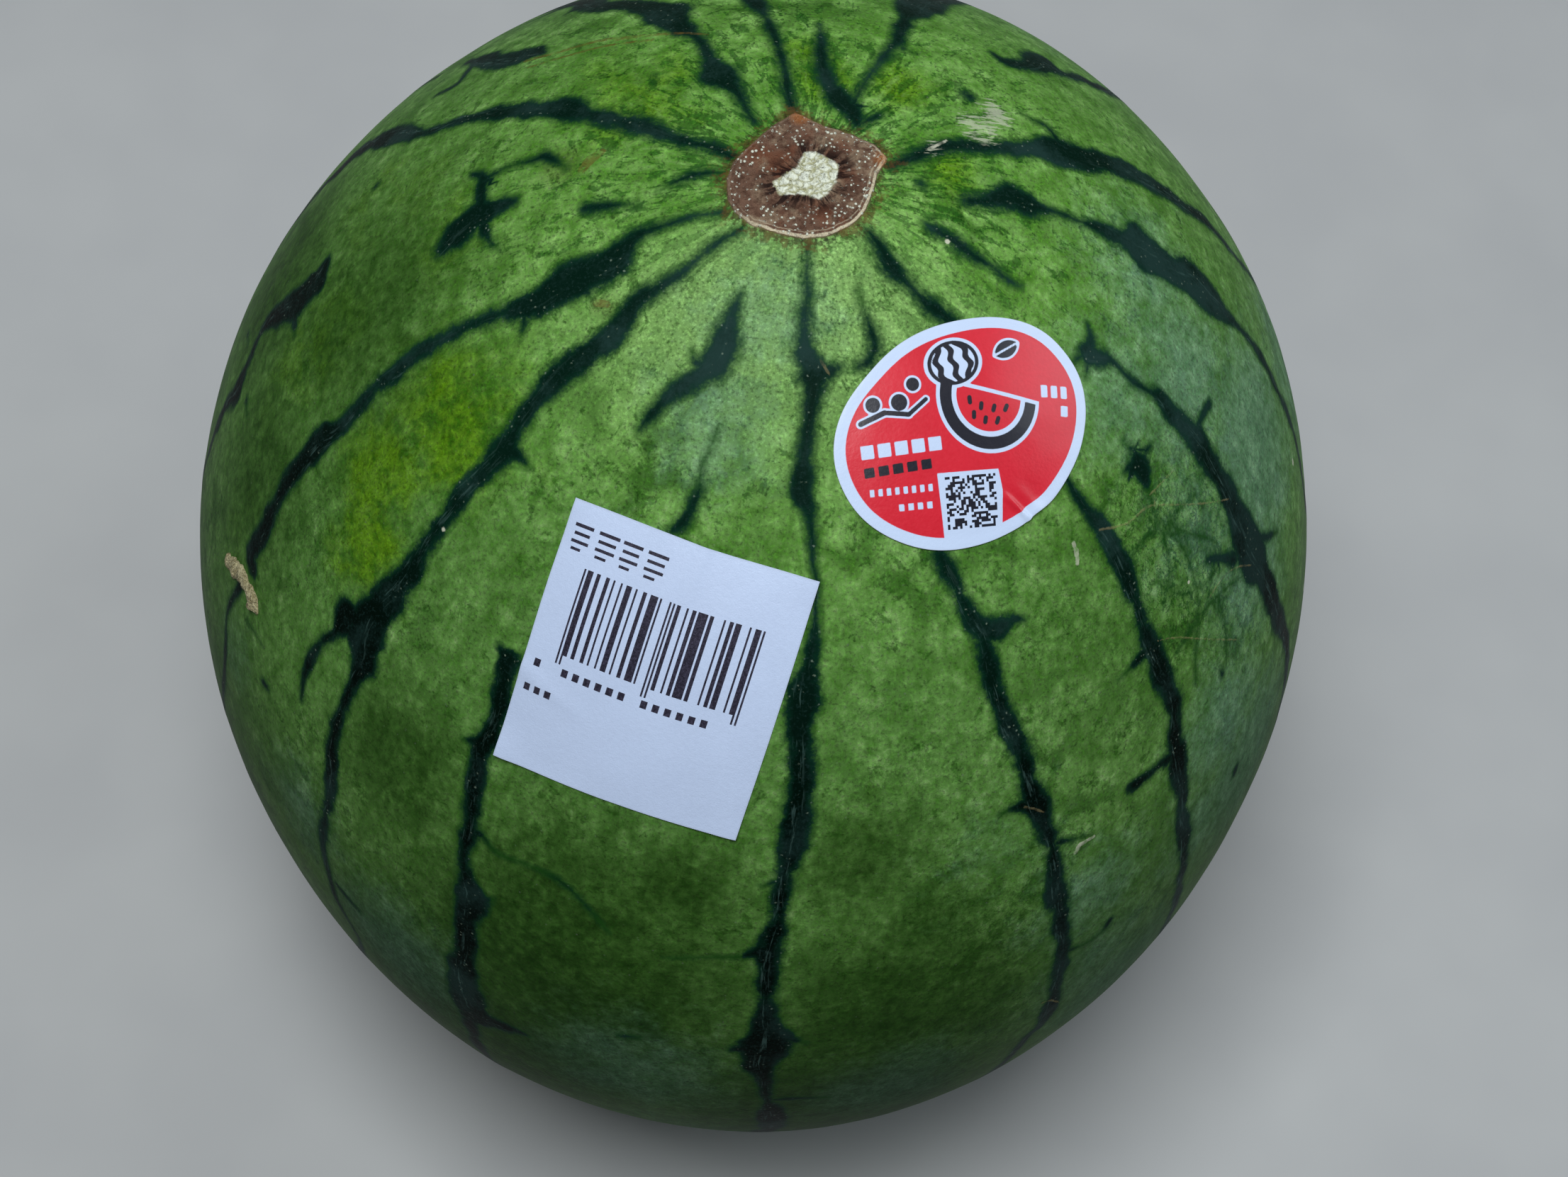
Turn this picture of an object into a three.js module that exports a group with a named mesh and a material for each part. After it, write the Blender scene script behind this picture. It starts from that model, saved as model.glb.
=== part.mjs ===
// Small watermelon (kodama type) standing on its lower end, with its two paper labels.
// Units are millimetres, +Z is up. The origin is the centre of the footprint on the floor.
import * as THREE from 'three';

// ---------------------------------------------------------------- driving dimensions
const MEAN_R = 87;              // mean radius of the fruit, about 170 mm across its middle
// low-order shape terms of the fruit, mm: taller than wide, fuller at the scar end, a little lopsided
const SHAPE = [8.694, -0.587, -0.491, 0.037, -0.353, 1.634, 1.068, 0.779, -1.025, 0.431, -0.217, 1.479, 1.109];
const FOOT_POLAR = 171.1;       // polar angle of the edge of the flat resting spot, degrees
const CENTRE_X = 0.79;          // puts the middle of the fruit's footprint box on the origin
const CENTRE_Y = 1.86;
const SEGMENTS = 72;            // around the fruit

// corky scar at the top
const SCAR_R = 9.2;             // mean radius of the scar
const SCAR_RIM_H = 0.55;        // height of its raised rim
const SCAR_RING_H = 0.15;       // height of the brown ring inside the rim
const PITH_R = 4.1;             // radius of the pale crumbly pith
const PITH_DEPTH = 0.6;         // how far the pith lies below the skin

// labels
const LABEL_GAP = 0.3;          // clearance between a label and the skin
const LABEL_T = 0.3;            // thickness of a label
const PRICE_LABEL = [[-29.51, 30.78], [-6.78, 30.28], [9.85, 31.74], [1.94, 54.22], [-24.86, 54.14], [-25.97, 44.91]]; // outline as longitude, polar angle in degrees
const PRICE_GRID = 14;
const OVAL_LABEL = [[60.54, 17.20], [56.01, 16.27], [50.88, 15.55], [45.24, 15.09], [39.33, 14.95], [33.54, 15.15], [28.30, 15.69], [23.81, 16.47], [19.88, 17.37], [16.65, 18.41], [14.38, 19.63], [13.05, 20.98], [12.67, 22.39], [13.16, 23.79], [14.29, 25.13], [15.81, 26.41], [17.79, 27.55], [20.15, 28.54], [22.68, 29.40], [25.36, 30.15], [28.18, 30.74], [31.12, 31.16], [34.13, 31.43], [37.17, 31.61], [40.24, 31.67], [43.34, 31.69], [46.45, 31.68], [49.43, 31.29], [52.41, 30.87], [55.38, 30.38], [58.26, 29.76], [60.97, 28.99], [63.46, 28.06], [65.69, 26.98], [67.38, 25.72], [68.33, 24.28], [68.80, 22.78], [68.44, 21.25], [66.85, 19.75], [64.19, 18.38]]; // outline as longitude, polar angle in degrees
const OVAL_RINGS = 7;

// ---------------------------------------------------------------- fruit surface
const RAD = Math.PI / 180;

// radius of the fruit in the direction of a unit vector
function fruitRadius(x, y, z) {
  const f = [
    z * z - 1 / 3, x * x - y * y, 2 * x * y, x * z, y * z,
    z * (5 * z * z - 3) / 2, x * (5 * z * z - 1) / 2, y * (5 * z * z - 1) / 2,
    z * (x * x - y * y), z * 2 * x * y, x * x * x - 3 * x * y * y, 3 * x * x * y - y * y * y,
    (35 * z ** 4 - 30 * z * z + 3) / 8,
  ];
  return MEAN_R + f.reduce((sum, v, i) => sum + v * SHAPE[i], 0);
}

// longitude 0 faces -Y and grows towards +X; the polar angle is measured from the scar
function direction(lon, polar) {
  return [Math.sin(polar) * Math.sin(lon), -Math.sin(polar) * Math.cos(lon), Math.cos(polar)];
}

function surfacePoint(lon, polar, lift = 0) {
  const d = direction(lon, polar);
  const r = fruitRadius(...d) + lift;
  return new THREE.Vector3(d[0] * r, d[1] * r, d[2] * r);
}

function surfaceNormal(d) {
  const h = 1e-3;
  const n = new THREE.Vector3(...d);
  const a = new THREE.Vector3(-n.y, n.x, 0);
  if (a.length() < 1e-6) a.set(1, 0, 0);
  a.normalize();
  const b = new THREE.Vector3().crossVectors(n, a);
  const at = (s, t) => {
    const q = n.clone().addScaledVector(a, s).addScaledVector(b, t).normalize();
    return q.multiplyScalar(fruitRadius(q.x, q.y, q.z));
  };
  const du = at(h, 0).sub(at(-h, 0));
  const dv = at(0, h).sub(at(0, -h));
  const m = new THREE.Vector3().crossVectors(du, dv).normalize();
  return m.dot(n) < 0 ? m.negate() : m;
}

// the lower end is flattened at this height below the fruit's centre
let footZ = -Infinity;
for (let i = 0; i < SEGMENTS; i++) {
  footZ = Math.max(footZ, surfacePoint(2 * Math.PI * i / SEGMENTS, FOOT_POLAR * RAD).z);
}

function place(v) {
  return new THREE.Vector3(v.x + CENTRE_X, v.y + CENTRE_Y, v.z - footZ);
}

// height of the scar above or below the skin, by distance from the pole and longitude
function scarLift(polar, lon) {
  const rho = polar * fruitRadius(0, 0, 1);
  const edge = SCAR_R * (1 + 0.07 * Math.cos(2 * lon + 0.6) + 0.05 * Math.cos(3 * lon - 1.1));
  const step = (x, a, b) => { const t = Math.min(1, Math.max(0, (x - a) / (b - a))); return t * t * (3 - 2 * t); };
  const rim = SCAR_RIM_H * Math.exp(-(((rho - edge + 0.9) / 0.9) ** 2));
  const ring = SCAR_RING_H * (1 - step(rho, edge - 0.8, edge + 0.2)) * step(rho, PITH_R - 0.2, PITH_R + 0.9);
  const pith = -PITH_DEPTH * (1 - step(rho, PITH_R - 1.2, PITH_R + 0.4));
  return rim + ring + pith;
}

// ---------------------------------------------------------------- mesh helpers
function meshFrom(name, positions, indices, colour, roughness) {
  const geometry = new THREE.BufferGeometry();
  geometry.setAttribute('position', new THREE.Float32BufferAttribute(positions.flatMap((v) => [v.x, v.y, v.z]), 3));
  geometry.setIndex(indices);
  geometry.computeVertexNormals();
  const mesh = new THREE.Mesh(geometry, new THREE.MeshStandardMaterial({ color: colour, roughness, metalness: 0 }));
  mesh.name = name;
  return mesh;
}

// ---------------------------------------------------------------- fruit
function buildFruit() {
  const polars = [0.9, 1.8, 2.5, 3.1, 3.8, 4.5, 5.0, 5.5, 6.0, 6.6, 7.6, 9.5, 12.5];
  for (let a = 16.5; a < 165; a += 4.5) polars.push(a);
  polars.push(166.3, 169.0, FOOT_POLAR, 175.5);
  const points = [place(surfacePoint(0, 0, scarLift(0, 0)))];
  for (const deg of polars) {
    for (let i = 0; i < SEGMENTS; i++) {
      const lon = 2 * Math.PI * i / SEGMENTS;
      const v = surfacePoint(lon, deg * RAD, deg < 12 ? scarLift(deg * RAD, lon) : 0);
      if (deg >= FOOT_POLAR) v.z = footZ;
      points.push(place(v));
    }
  }
  points.push(place(new THREE.Vector3(0, 0, footZ)));
  const index = [];
  const at = (ring, i) => 1 + ring * SEGMENTS + (i % SEGMENTS);
  for (let i = 0; i < SEGMENTS; i++) index.push(0, at(0, i), at(0, i + 1));
  for (let ring = 0; ring + 1 < polars.length; ring++) {
    for (let i = 0; i < SEGMENTS; i++) {
      const a = at(ring, i), b = at(ring, i + 1), c = at(ring + 1, i + 1), d = at(ring + 1, i);
      index.push(a, d, c, a, c, b);
    }
  }
  const last = points.length - 1;
  for (let i = 0; i < SEGMENTS; i++) index.push(last, at(polars.length - 1, i + 1), at(polars.length - 1, i));
  return meshFrom('melon', points, index, 0x3f6b26, 0.42);
}

// ---------------------------------------------------------------- labels
// a thin sheet that follows the skin: grid of directions in, closed shell out
function sheetFrom(name, directions, faces, border, colour, roughness) {
  const lower = [], upper = [];
  for (const d of directions) {
    const n = surfaceNormal(d);
    const r = fruitRadius(...d);
    const base = new THREE.Vector3(d[0] * r, d[1] * r, d[2] * r);
    lower.push(place(base.clone().addScaledVector(n, LABEL_GAP)));
    upper.push(place(base.clone().addScaledVector(n, LABEL_GAP + LABEL_T)));
  }
  const n = directions.length;
  const index = [];
  for (const [a, b, c] of faces) index.push(n + a, n + b, n + c, c, b, a);
  for (let i = 0; i < border.length; i++) {
    const a = border[i], b = border[(i + 1) % border.length];
    index.push(a, b, n + b, a, n + b, n + a);
  }
  return meshFrom(name, [...lower, ...upper], index, colour, roughness);
}

const unit = (v) => { const l = Math.hypot(...v); return v.map((q) => q / l); };
const mix = (a, b, t) => a.map((q, i) => q * (1 - t) + b[i] * t);

function buildPriceLabel() {
  const c = PRICE_LABEL.map(([lon, polar]) => direction(lon * RAD, polar * RAD));
  // corners: top left, top right, bottom right, bottom left; the top edge and the left edge each have a kink
  const [tl, topKink, tr, br, bl, leftKink] = c;
  const bent = (a, k, b, t) => {
    const la = Math.hypot(...a.map((q, i) => q - k[i])), lb = Math.hypot(...b.map((q, i) => q - k[i]));
    const s = la / (la + lb);
    return t < s ? mix(a, k, t / s) : mix(k, b, (t - s) / (1 - s));
  };
  const dirs = [];
  for (let j = 0; j <= PRICE_GRID; j++) {
    const v = j / PRICE_GRID;
    for (let i = 0; i <= PRICE_GRID; i++) {
      const u = i / PRICE_GRID;
      const top = bent(tl, topKink, tr, u), bottom = mix(bl, br, u);
      const left = bent(tl, leftKink, bl, v), right = mix(tr, br, v);
      const corner = mix(mix(tl, tr, u), mix(bl, br, u), v);
      dirs.push(unit(top.map((_, k) => top[k] * (1 - v) + bottom[k] * v + left[k] * (1 - u) + right[k] * u - corner[k])));
    }
  }
  const at = (i, j) => j * (PRICE_GRID + 1) + i;
  const faces = [];
  for (let j = 0; j < PRICE_GRID; j++) for (let i = 0; i < PRICE_GRID; i++) {
    const a = at(i, j), b = at(i + 1, j), d = at(i, j + 1), e = at(i + 1, j + 1);
    faces.push([a, d, e], [a, e, b]);
  }
  const border = [];
  for (let j = 0; j < PRICE_GRID; j++) border.push(at(0, j));
  for (let i = 0; i < PRICE_GRID; i++) border.push(at(i, PRICE_GRID));
  for (let j = PRICE_GRID; j > 0; j--) border.push(at(PRICE_GRID, j));
  for (let i = PRICE_GRID; i > 0; i--) border.push(at(i, 0));
  return sheetFrom('barcode_label', dirs, faces, border, 0xeef2f8, 0.6);
}

function buildOvalLabel() {
  const outline = OVAL_LABEL.map(([lon, polar]) => direction(lon * RAD, polar * RAD));
  const centre = unit(outline.reduce((s, d) => s.map((q, i) => q + d[i]), [0, 0, 0]));
  const m = outline.length;
  const dirs = [centre];
  for (let ring = 1; ring <= OVAL_RINGS; ring++) {
    for (const d of outline) dirs.push(unit(mix(centre, d, ring / OVAL_RINGS)));
  }
  const at = (ring, i) => 1 + (ring - 1) * m + (i % m);
  const faces = [];
  for (let i = 0; i < m; i++) faces.push([0, at(1, i), at(1, i + 1)]);
  for (let ring = 1; ring < OVAL_RINGS; ring++) for (let i = 0; i < m; i++) {
    const a = at(ring, i), b = at(ring, i + 1), c = at(ring + 1, i + 1), d = at(ring + 1, i);
    faces.push([a, d, c], [a, c, b]);
  }
  const border = [];
  for (let i = 0; i < m; i++) border.push(at(OVAL_RINGS, i));
  return sheetFrom('oval_label', dirs, faces, border, 0xd93b4e, 0.35);
}

// ---------------------------------------------------------------- the part
const part = new THREE.Group();
part.name = 'small_watermelon';
part.add(buildFruit(), buildPriceLabel(), buildOvalLabel());

export default part;
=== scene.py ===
import bpy, math
import numpy as np
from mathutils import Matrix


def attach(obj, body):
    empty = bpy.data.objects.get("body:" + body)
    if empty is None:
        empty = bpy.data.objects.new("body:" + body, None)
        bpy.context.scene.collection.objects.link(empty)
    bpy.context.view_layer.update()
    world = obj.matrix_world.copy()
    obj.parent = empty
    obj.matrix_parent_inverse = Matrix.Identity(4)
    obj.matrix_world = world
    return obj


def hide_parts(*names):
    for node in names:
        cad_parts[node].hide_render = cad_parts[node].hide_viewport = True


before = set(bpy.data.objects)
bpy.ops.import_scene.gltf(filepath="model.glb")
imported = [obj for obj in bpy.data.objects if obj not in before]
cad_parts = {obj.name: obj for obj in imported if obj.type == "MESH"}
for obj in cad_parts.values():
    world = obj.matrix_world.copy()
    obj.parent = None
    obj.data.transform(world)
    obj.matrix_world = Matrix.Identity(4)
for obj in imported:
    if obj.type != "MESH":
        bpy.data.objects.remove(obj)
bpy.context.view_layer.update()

# Small striped watermelon with its corky scar up, a square white label and an oval red label.
# Work is done in millimetres about the middle of the fruit and placed in metres at the end.

# ------------------------------------------------------------------ shape of the fruit
MEAN_R = 87.0
SHAPE = np.array([8.694, -0.587, -0.491, 0.037, -0.353, 1.634, 1.068, 0.779, -1.025, 0.431, -0.217, 1.479, 1.109])
FOOT_POLAR = 171.1
CENTRE = np.array([0.79, 1.86, 0.0])
RNG = np.random.default_rng(41)


def radius(u):
    x, y, z = u[..., 0], u[..., 1], u[..., 2]
    f = np.stack([z * z - 1 / 3, x * x - y * y, 2 * x * y, x * z, y * z,
                  z * (5 * z * z - 3) / 2, x * (5 * z * z - 1) / 2, y * (5 * z * z - 1) / 2,
                  z * (x * x - y * y), z * 2 * x * y, x ** 3 - 3 * x * y * y, 3 * x * x * y - y ** 3,
                  (35 * z ** 4 - 30 * z * z + 3) / 8], -1)
    return MEAN_R + f @ SHAPE


def direction(lon, polar):
    lon, polar = np.radians(np.asarray(lon, float)), np.radians(np.asarray(polar, float))
    return np.stack([np.sin(polar) * np.sin(lon), -np.sin(polar) * np.cos(lon), np.cos(polar)], -1)


def unit(v):
    return v / np.linalg.norm(v, axis=-1, keepdims=True)


def skin(u):
    return u * radius(u)[..., None]


def normal(u):
    h = 1e-3
    a = np.where(np.abs(u[..., 2:3]) > 0.9, np.array([1.0, 0, 0]), np.array([0, 0, 1.0]))
    a = unit(np.cross(u, a))
    b = np.cross(u, a)
    du = skin(unit(u + h * a)) - skin(unit(u - h * a))
    dv = skin(unit(u + h * b)) - skin(unit(u - h * b))
    n = unit(np.cross(du, dv))
    return n * np.sign((n * u).sum(-1, keepdims=True))


_foot = direction(np.arange(0, 360, 5.0), np.full(72, FOOT_POLAR))
FOOT_Z = float(skin(_foot)[:, 2].max())


def to_world(p):
    return (p + CENTRE - np.array([0, 0, FOOT_Z])) / 1000.0


# ------------------------------------------------------------------ smooth value noise, used to shape meshes
def lattice(seed):
    return np.random.default_rng(seed).random((32, 32, 32))


def noise3(p, seed=1):
    g = _LAT.setdefault(seed, lattice(seed))
    i = np.floor(p).astype(int)
    f = p - i
    f = f * f * (3 - 2 * f)
    out = 0
    for dx in (0, 1):
        for dy in (0, 1):
            for dz in (0, 1):
                w = (f[..., 0] if dx else 1 - f[..., 0]) * (f[..., 1] if dy else 1 - f[..., 1]) * (f[..., 2] if dz else 1 - f[..., 2])
                out = out + w * g[(i[..., 0] + dx) % 32, (i[..., 1] + dy) % 32, (i[..., 2] + dz) % 32]
    return out * 2 - 1


_LAT = {}


def fbm(p, octaves=3, seed=1):
    out, amp = 0, 1.0
    for o in range(octaves):
        out = out + amp * noise3(p * 2 ** o + 7.3 * o, seed + o)
        amp *= 0.5
    return out


def sstep(x, a, b):
    t = np.clip((x - a) / (b - a), 0, 1)
    return t * t * (3 - 2 * t)


# ------------------------------------------------------------------ stripes: longitude, polar angle in degrees, half width in mm
MAIN = {
    'A2': [(-102.9, 6.23, 0.86), (-106.1, 8.14, 1.12), (-106.7, 11.2, 1.26), (-109.1, 14.63, 1.9), (-110.6, 18.21, 1.53), (-111.7, 22.06, 2.16), (-111.4, 25.85, 1.99), (-110.9, 29.88, 1.55), (-110.4, 34.26, 1.05), (-109.5, 38.85, 1.06), (-111, 43.11, 1.79), (-111.7, 46.09, 2.35), (-112.5, 51.01, 1.84), (-112.6, 54.26, 1.86), (-111.3, 56.33, 1.68)],
    'A1': [(-126.4, 44.61, 1.1), (-125.4, 39.33, 2.34), (-125.1, 35.38, 2.49), (-126.6, 32.99, 2.12), (-126.7, 31.4, 0.88)],
    'A1t': [(-124.3, 41.64, 0.91), (-120.3, 40.74, 0.72), (-118.6, 43.13, 0.54)],
    'A3': [(-83, 30.75, 1.9), (-85.1, 28.94, 2.9), (-87.1, 26.98, 2.6), (-87.6, 25.15, 1.4), (-87.4, 23.6, 0.8)],
    'A3u': [(-87.3, 26.88, 1.51), (-91.4, 27.21, 1.29), (-95.6, 27.74, 0.81), (-96.8, 29.06, 0.6)],
    'A3v': [(-95.2, 26.94, 0.62), (-96.8, 24.99, 0.44), (-97.2, 22.96, 0.56), (-97.9, 21.69, 0.94), (-93.8, 19.33, 0.4)],
    'A3d': [(-84.1, 26.73, 1.18), (-79.2, 25.66, 0.56), (-77.4, 25.02, 0.27)],
    'dot1': [(-101.6, 42.52, 0.79)],
    'A4': [(-91.8, 47.38, 1.77), (-89.9, 48.64, 3.01), (-89.3, 52.27, 3.04), (-90.6, 57.61, 1.82), (-89.9, 60.25, 1.46), (-88.8, 61.73, 1.28), (-87.7, 63.12, 1.29), (-85.9, 65.52, 2.58), (-86.3, 68.75, 1.49), (-86.2, 71.51, 1.31)],
    'A4s': [(-88, 51.97, 1.43), (-84.3, 51.38, 0.35)],
    'A5': [(-57.4, 7.09, 0.41), (-61.8, 8.87, 0.42), (-63.5, 10.8, 0.52), (-64.4, 12.49, 0.84), (-64.1, 14.29, 1.27), (-59.9, 16.54, 2.62), (-61.4, 20.32, 2.85), (-61.5, 23.04, 2.2), (-65, 27.49, 1.29), (-66, 30.41, 1.35), (-66.8, 32.91, 1.3), (-67.2, 36.43, 1.51), (-67.3, 40.23, 1.63), (-66.8, 42.91, 1.43), (-66.7, 45.67, 1.13), (-67.6, 49.41, 2.44), (-67.5, 52.23, 1.56), (-67, 55.49, 1.92), (-66.6, 58.95, 1.93), (-65.9, 60.98, 2.12), (-65.7, 65.25, 2.14), (-64.1, 65.55, 1.43)],
    'A5t': [(-64.8, 69.23, 1.08), (-65.3, 73.16, 0.91), (-65.2, 76.16, 0.55), (-64, 79.48, 0.74), (-63.4, 84.17, 0.75)],
    'A6': [(-40.2, 6.88, 0.49), (-43.2, 9, 0.79), (-43.1, 11.48, 0.68), (-43.4, 13.19, 1.17), (-45.9, 16.24, 1.37), (-43.4, 19.05, 1.66), (-44.9, 22.48, 1.95), (-45.9, 24.73, 1.79), (-45.6, 27.22, 1.82), (-44.8, 30.04, 1.65), (-43.9, 32.13, 2.05), (-44.2, 34.8, 1.53), (-44.6, 37.62, 1.56), (-44.8, 40.17, 1.5), (-44.8, 42.85, 1.55), (-44.6, 45.44, 1.92), (-44.6, 48.42, 2.66), (-45.5, 51.85, 3.55), (-45.1, 54.72, 4.11), (-44, 56.58, 2.79), (-43.8, 59.01, 1.62), (-43.7, 62.02, 1.41), (-43.5, 65.49, 1.4), (-43, 68.34, 1.39), (-41.9, 71.42, 1.75), (-41.3, 74.93, 1.42), (-40.9, 81.8, 1.08), (-39.6, 86.95, 0.92), (-38.7, 90.54, 0.74), (-35.9, 95.29, 0.56)],
    'A6l': [(-48.6, 55.02, 2.66), (-49.1, 57.85, 1.2), (-49.9, 59.96, 1.04), (-50.2, 62.85, 0.93), (-50, 65.28, 0.7), (-49.1, 67.86, 0.53)],
    'A6t': [(-38.6, 86.69, 0.73), (-35.2, 87, 0.55)],
    'B': [(-29.3, 45.31, 0.66), (-27.7, 46.02, 2.15), (-27, 47.81, 1.66), (-26.3, 50.36, 1.33), (-26.3, 52.37, 1.58), (-26.6, 54.07, 2.06), (-26.1, 55.9, 1.51), (-25.8, 58.19, 1.53), (-25.4, 60.48, 1.47), (-24.9, 63.19, 1.71), (-24.6, 66.13, 1.09), (-23.9, 68.52, 1.78), (-22.8, 70.54, 2.76), (-22.7, 73.41, 1.98), (-22.4, 77.43, 2.07), (-22.2, 82.03, 2.64), (-21.6, 85.85, 3.22), (-20.7, 89.23, 3.8), (-18.1, 88.8, 2.16), (-16.1, 87.97, 1.08), (-15.1, 87.93, 0.54)],
    'Bb': [(-21.2, 91.41, 2.19), (-20.9, 96.72, 1.3)],
    'Bc': [(-23.4, 62.84, 0.54), (-21.3, 63.86, 0.4), (-18.6, 63.38, 0.26), (-14.4, 63.49, 0.51), (-11.4, 65.12, 0.51), (-8.9, 67.2, 0.26)],
    'B1': [(-141.7, 33.85, 2.15), (-144.5, 29.32, 2.12), (-146.2, 25.12, 3.49), (-145.3, 21.49, 2.19), (-146.2, 18.74, 1.07), (-144.3, 15.74, 1.05), (-142.2, 13.09, 2.74), (-142.2, 10.35, 1.25), (-137.9, 7.82, 0.59), (-137, 6.73, 0.52)],
    'B2': [(-163.3, 23.77, 1.4), (-164.5, 19.75, 0.94), (-165, 15.44, 0.75), (-165.3, 12.35, 0.78), (-164.1, 8.79, 0.94), (-164.3, 6.36, 0.75)],
    'B3': [(-177.8, 18.41, 0.39), (-178.3, 15.48, 0.86), (-179.5, 12.43, 1.2), (176.1, 9.86, 1.33), (168.9, 8.49, 1.81), (160.8, 7.76, 1.39), (151.5, 6.74, 0.86)],
    'B4': [(164.3, 29.28, 3.56), (164.2, 22.84, 1.42), (162.3, 19.18, 1.03), (162.6, 16.22, 0.8), (162.6, 13.73, 0.63), (162.4, 10.5, 0.59), (162, 8.12, 0.77)],
    'B5': [(110.8, 6.44, 0.63), (114.8, 8.06, 0.85), (118.9, 10.8, 1.13), (119.1, 12.75, 1.12), (117.8, 15.93, 1.2), (117.1, 19.35, 1.69), (117.5, 23.24, 2.87), (116.8, 27.28, 2.23), (116.5, 31.95, 1.92), (115.3, 37.02, 1.77), (114.7, 40.61, 1.25), (114.8, 43.55, 1.08), (113.8, 46.24, 1.09), (113.2, 49.46, 0.73)],
    'C1': [(146.4, 25.62, 0.52), (143.2, 25.83, 1.05), (141.5, 28.44, 1.76), (142.1, 31.65, 2.85), (139, 33.15, 1.43), (138.1, 36.77, 1.26), (137.2, 39.17, 1.46)],
    'C1b': [(137, 17.29, 1.31)],
    'B6': [(94.5, 12.45, 1.09), (97.1, 14.55, 1.58), (101, 15.87, 2.1), (99.7, 17.74, 1.8), (99.5, 19.04, 1.27), (99.8, 20.4, 0.66), (99.5, 22.49, 0.68), (99.9, 24.72, 1.13), (100, 27.08, 1.82), (100.1, 29.6, 3.67), (99.5, 33.24, 2.74), (100, 36.39, 3.46), (99.4, 38.6, 3.13), (99.1, 41.05, 2.45), (99.1, 43.07, 1.06), (99.2, 47.78, 0.89), (98.8, 51.69, 1.09), (97.6, 55.1, 1.09), (97.3, 58.69, 1.11), (96.6, 62.03, 0.93)],
    'B7': [(77.3, 9.49, 0.43), (76.4, 10.44, 1.08), (75.9, 12, 1.31), (74.6, 13.68, 0.87), (74.7, 15.6, 0.55), (74, 17.01, 0.55), (74.7, 18.27, 0.33)],
    'B8': [(52.7, 6.33, 0.69), (51, 7.69, 0.98), (47.8, 9.85, 1.37), (49.1, 12.08, 0.98), (49.9, 13.57, 1.18), (52.6, 15.77, 1.18)],
    'B9': [(28.6, 10.15, 0.27), (28.2, 11.88, 0.5), (28, 13.58, 0.85), (27.4, 14.69, 1.1), (24.4, 15.6, 1.1), (20.5, 15.9, 0.5)],
    'B10': [(6.9, 5.91, 0.35), (6.2, 7.94, 0.44), (6.5, 10.2, 0.61), (5.9, 12.42, 1.05), (6.2, 14.6, 1.4), (9.3, 16.19, 1.74), (7.6, 19.93, 1.04), (6.6, 24.46, 1.48), (8, 26.32, 1.04), (8.6, 28.2, 0.7), (8.7, 30.09, 0.52), (9.4, 31.63, 0.44), (9.3, 33.96, 0.61), (9.2, 36, 0.88), (8.6, 38.01, 1.42), (8.1, 40.06, 2.12), (8, 42.16, 2.3), (8, 44.55, 2.04), (8.1, 47.32, 2.05), (8.1, 50.33, 2.07), (8, 53.39, 2.46), (7.6, 55.59, 2.04), (7.1, 57.71, 1.66), (7, 60.2, 1.29), (7, 62.72, 1.42), (6.4, 65.46, 2.1), (6.3, 68.43, 1.77), (6.5, 71.49, 1.59), (6.7, 74.48, 1.88), (7, 77.16, 2.86), (7, 79.36, 4.17), (6.7, 82.66, 2.62), (7.3, 85.94, 1.35), (7.7, 89.43, 0.97), (8.8, 96.34, 2.4)],
    'B11': [(-20, 11.11, 0.36), (-19.3, 12.58, 0.95), (-17.8, 14.54, 1.9), (-17.6, 16.58, 2.5), (-20.2, 18.1, 1.5), (-23.5, 20.12, 1.08), (-25.5, 22.39, 0.91), (-26, 23.87, 0.45)],
    'B11b': [(-11.4, 21.01, 0.26), (-11.6, 22.44, 0.35), (-12, 23.89, 0.44), (-12, 25.07, 0.44), (-11.2, 26.14, 0.53), (-11.7, 27.4, 0.88), (-12.4, 28.93, 1.05), (-13.6, 29.7, 0.7)],
    'dsh': [(-80, 17.36, 0.67), (-79.1, 15.89, 0.77), (-77.6, 14.18, 0.43), (-76.1, 13.07, 0.32)],
    'R1': [(28.6, 31.32, 1.63), (29.6, 33.4, 1.46), (30.3, 35.2, 1.56), (31.1, 37.06, 1.84), (31.9, 38.87, 1.71), (31.8, 41.24, 1.75), (31.9, 43.82, 1.65), (32.3, 45.94, 1.64), (33, 48.09, 2.02), (33.6, 50.34, 2.1), (33.9, 52.97, 2.07), (34.3, 55.77, 2.26), (35, 58.47, 1.88), (35.6, 61.3, 1.69), (35.9, 64.62, 1.65), (35.8, 68.38, 2.42), (36.2, 72.74, 1.88), (36.5, 77.72, 1.77), (36.4, 82.01, 1.97), (36.1, 85.44, 1.63), (36, 88.67, 2.2), (35.3, 91.93, 1.66), (34.2, 93.32, 1.11)],
    'R2': [(53.1, 30.91, 0.64), (53.2, 32.8, 1.05), (53.9, 34.88, 1.36), (54.7, 37.04, 1.77), (54.7, 39.2, 1.89), (54.4, 41.19, 1.83), (54.1, 43.58, 1.5), (53.9, 45.76, 1.55), (53.7, 47.98, 1.96), (53.9, 51.21, 2.09), (54.5, 53.83, 2.22), (54.6, 56.53, 2.15), (53.6, 60.3, 2.07), (53.5, 62.78, 2.43), (53.5, 65.18, 2.28), (53.6, 68.14, 1.77), (53.4, 71.59, 1.78), (53.6, 75.41, 1.98), (53.5, 79.83, 1.46), (53.5, 84.03, 1.29), (53.8, 88.93, 1.5)],
    'R2b': [(52.3, 61.96, 1.39), (50.4, 61.7, 1.04), (48.7, 61.6, 1.2), (46.8, 61.2, 1.32)],
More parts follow.
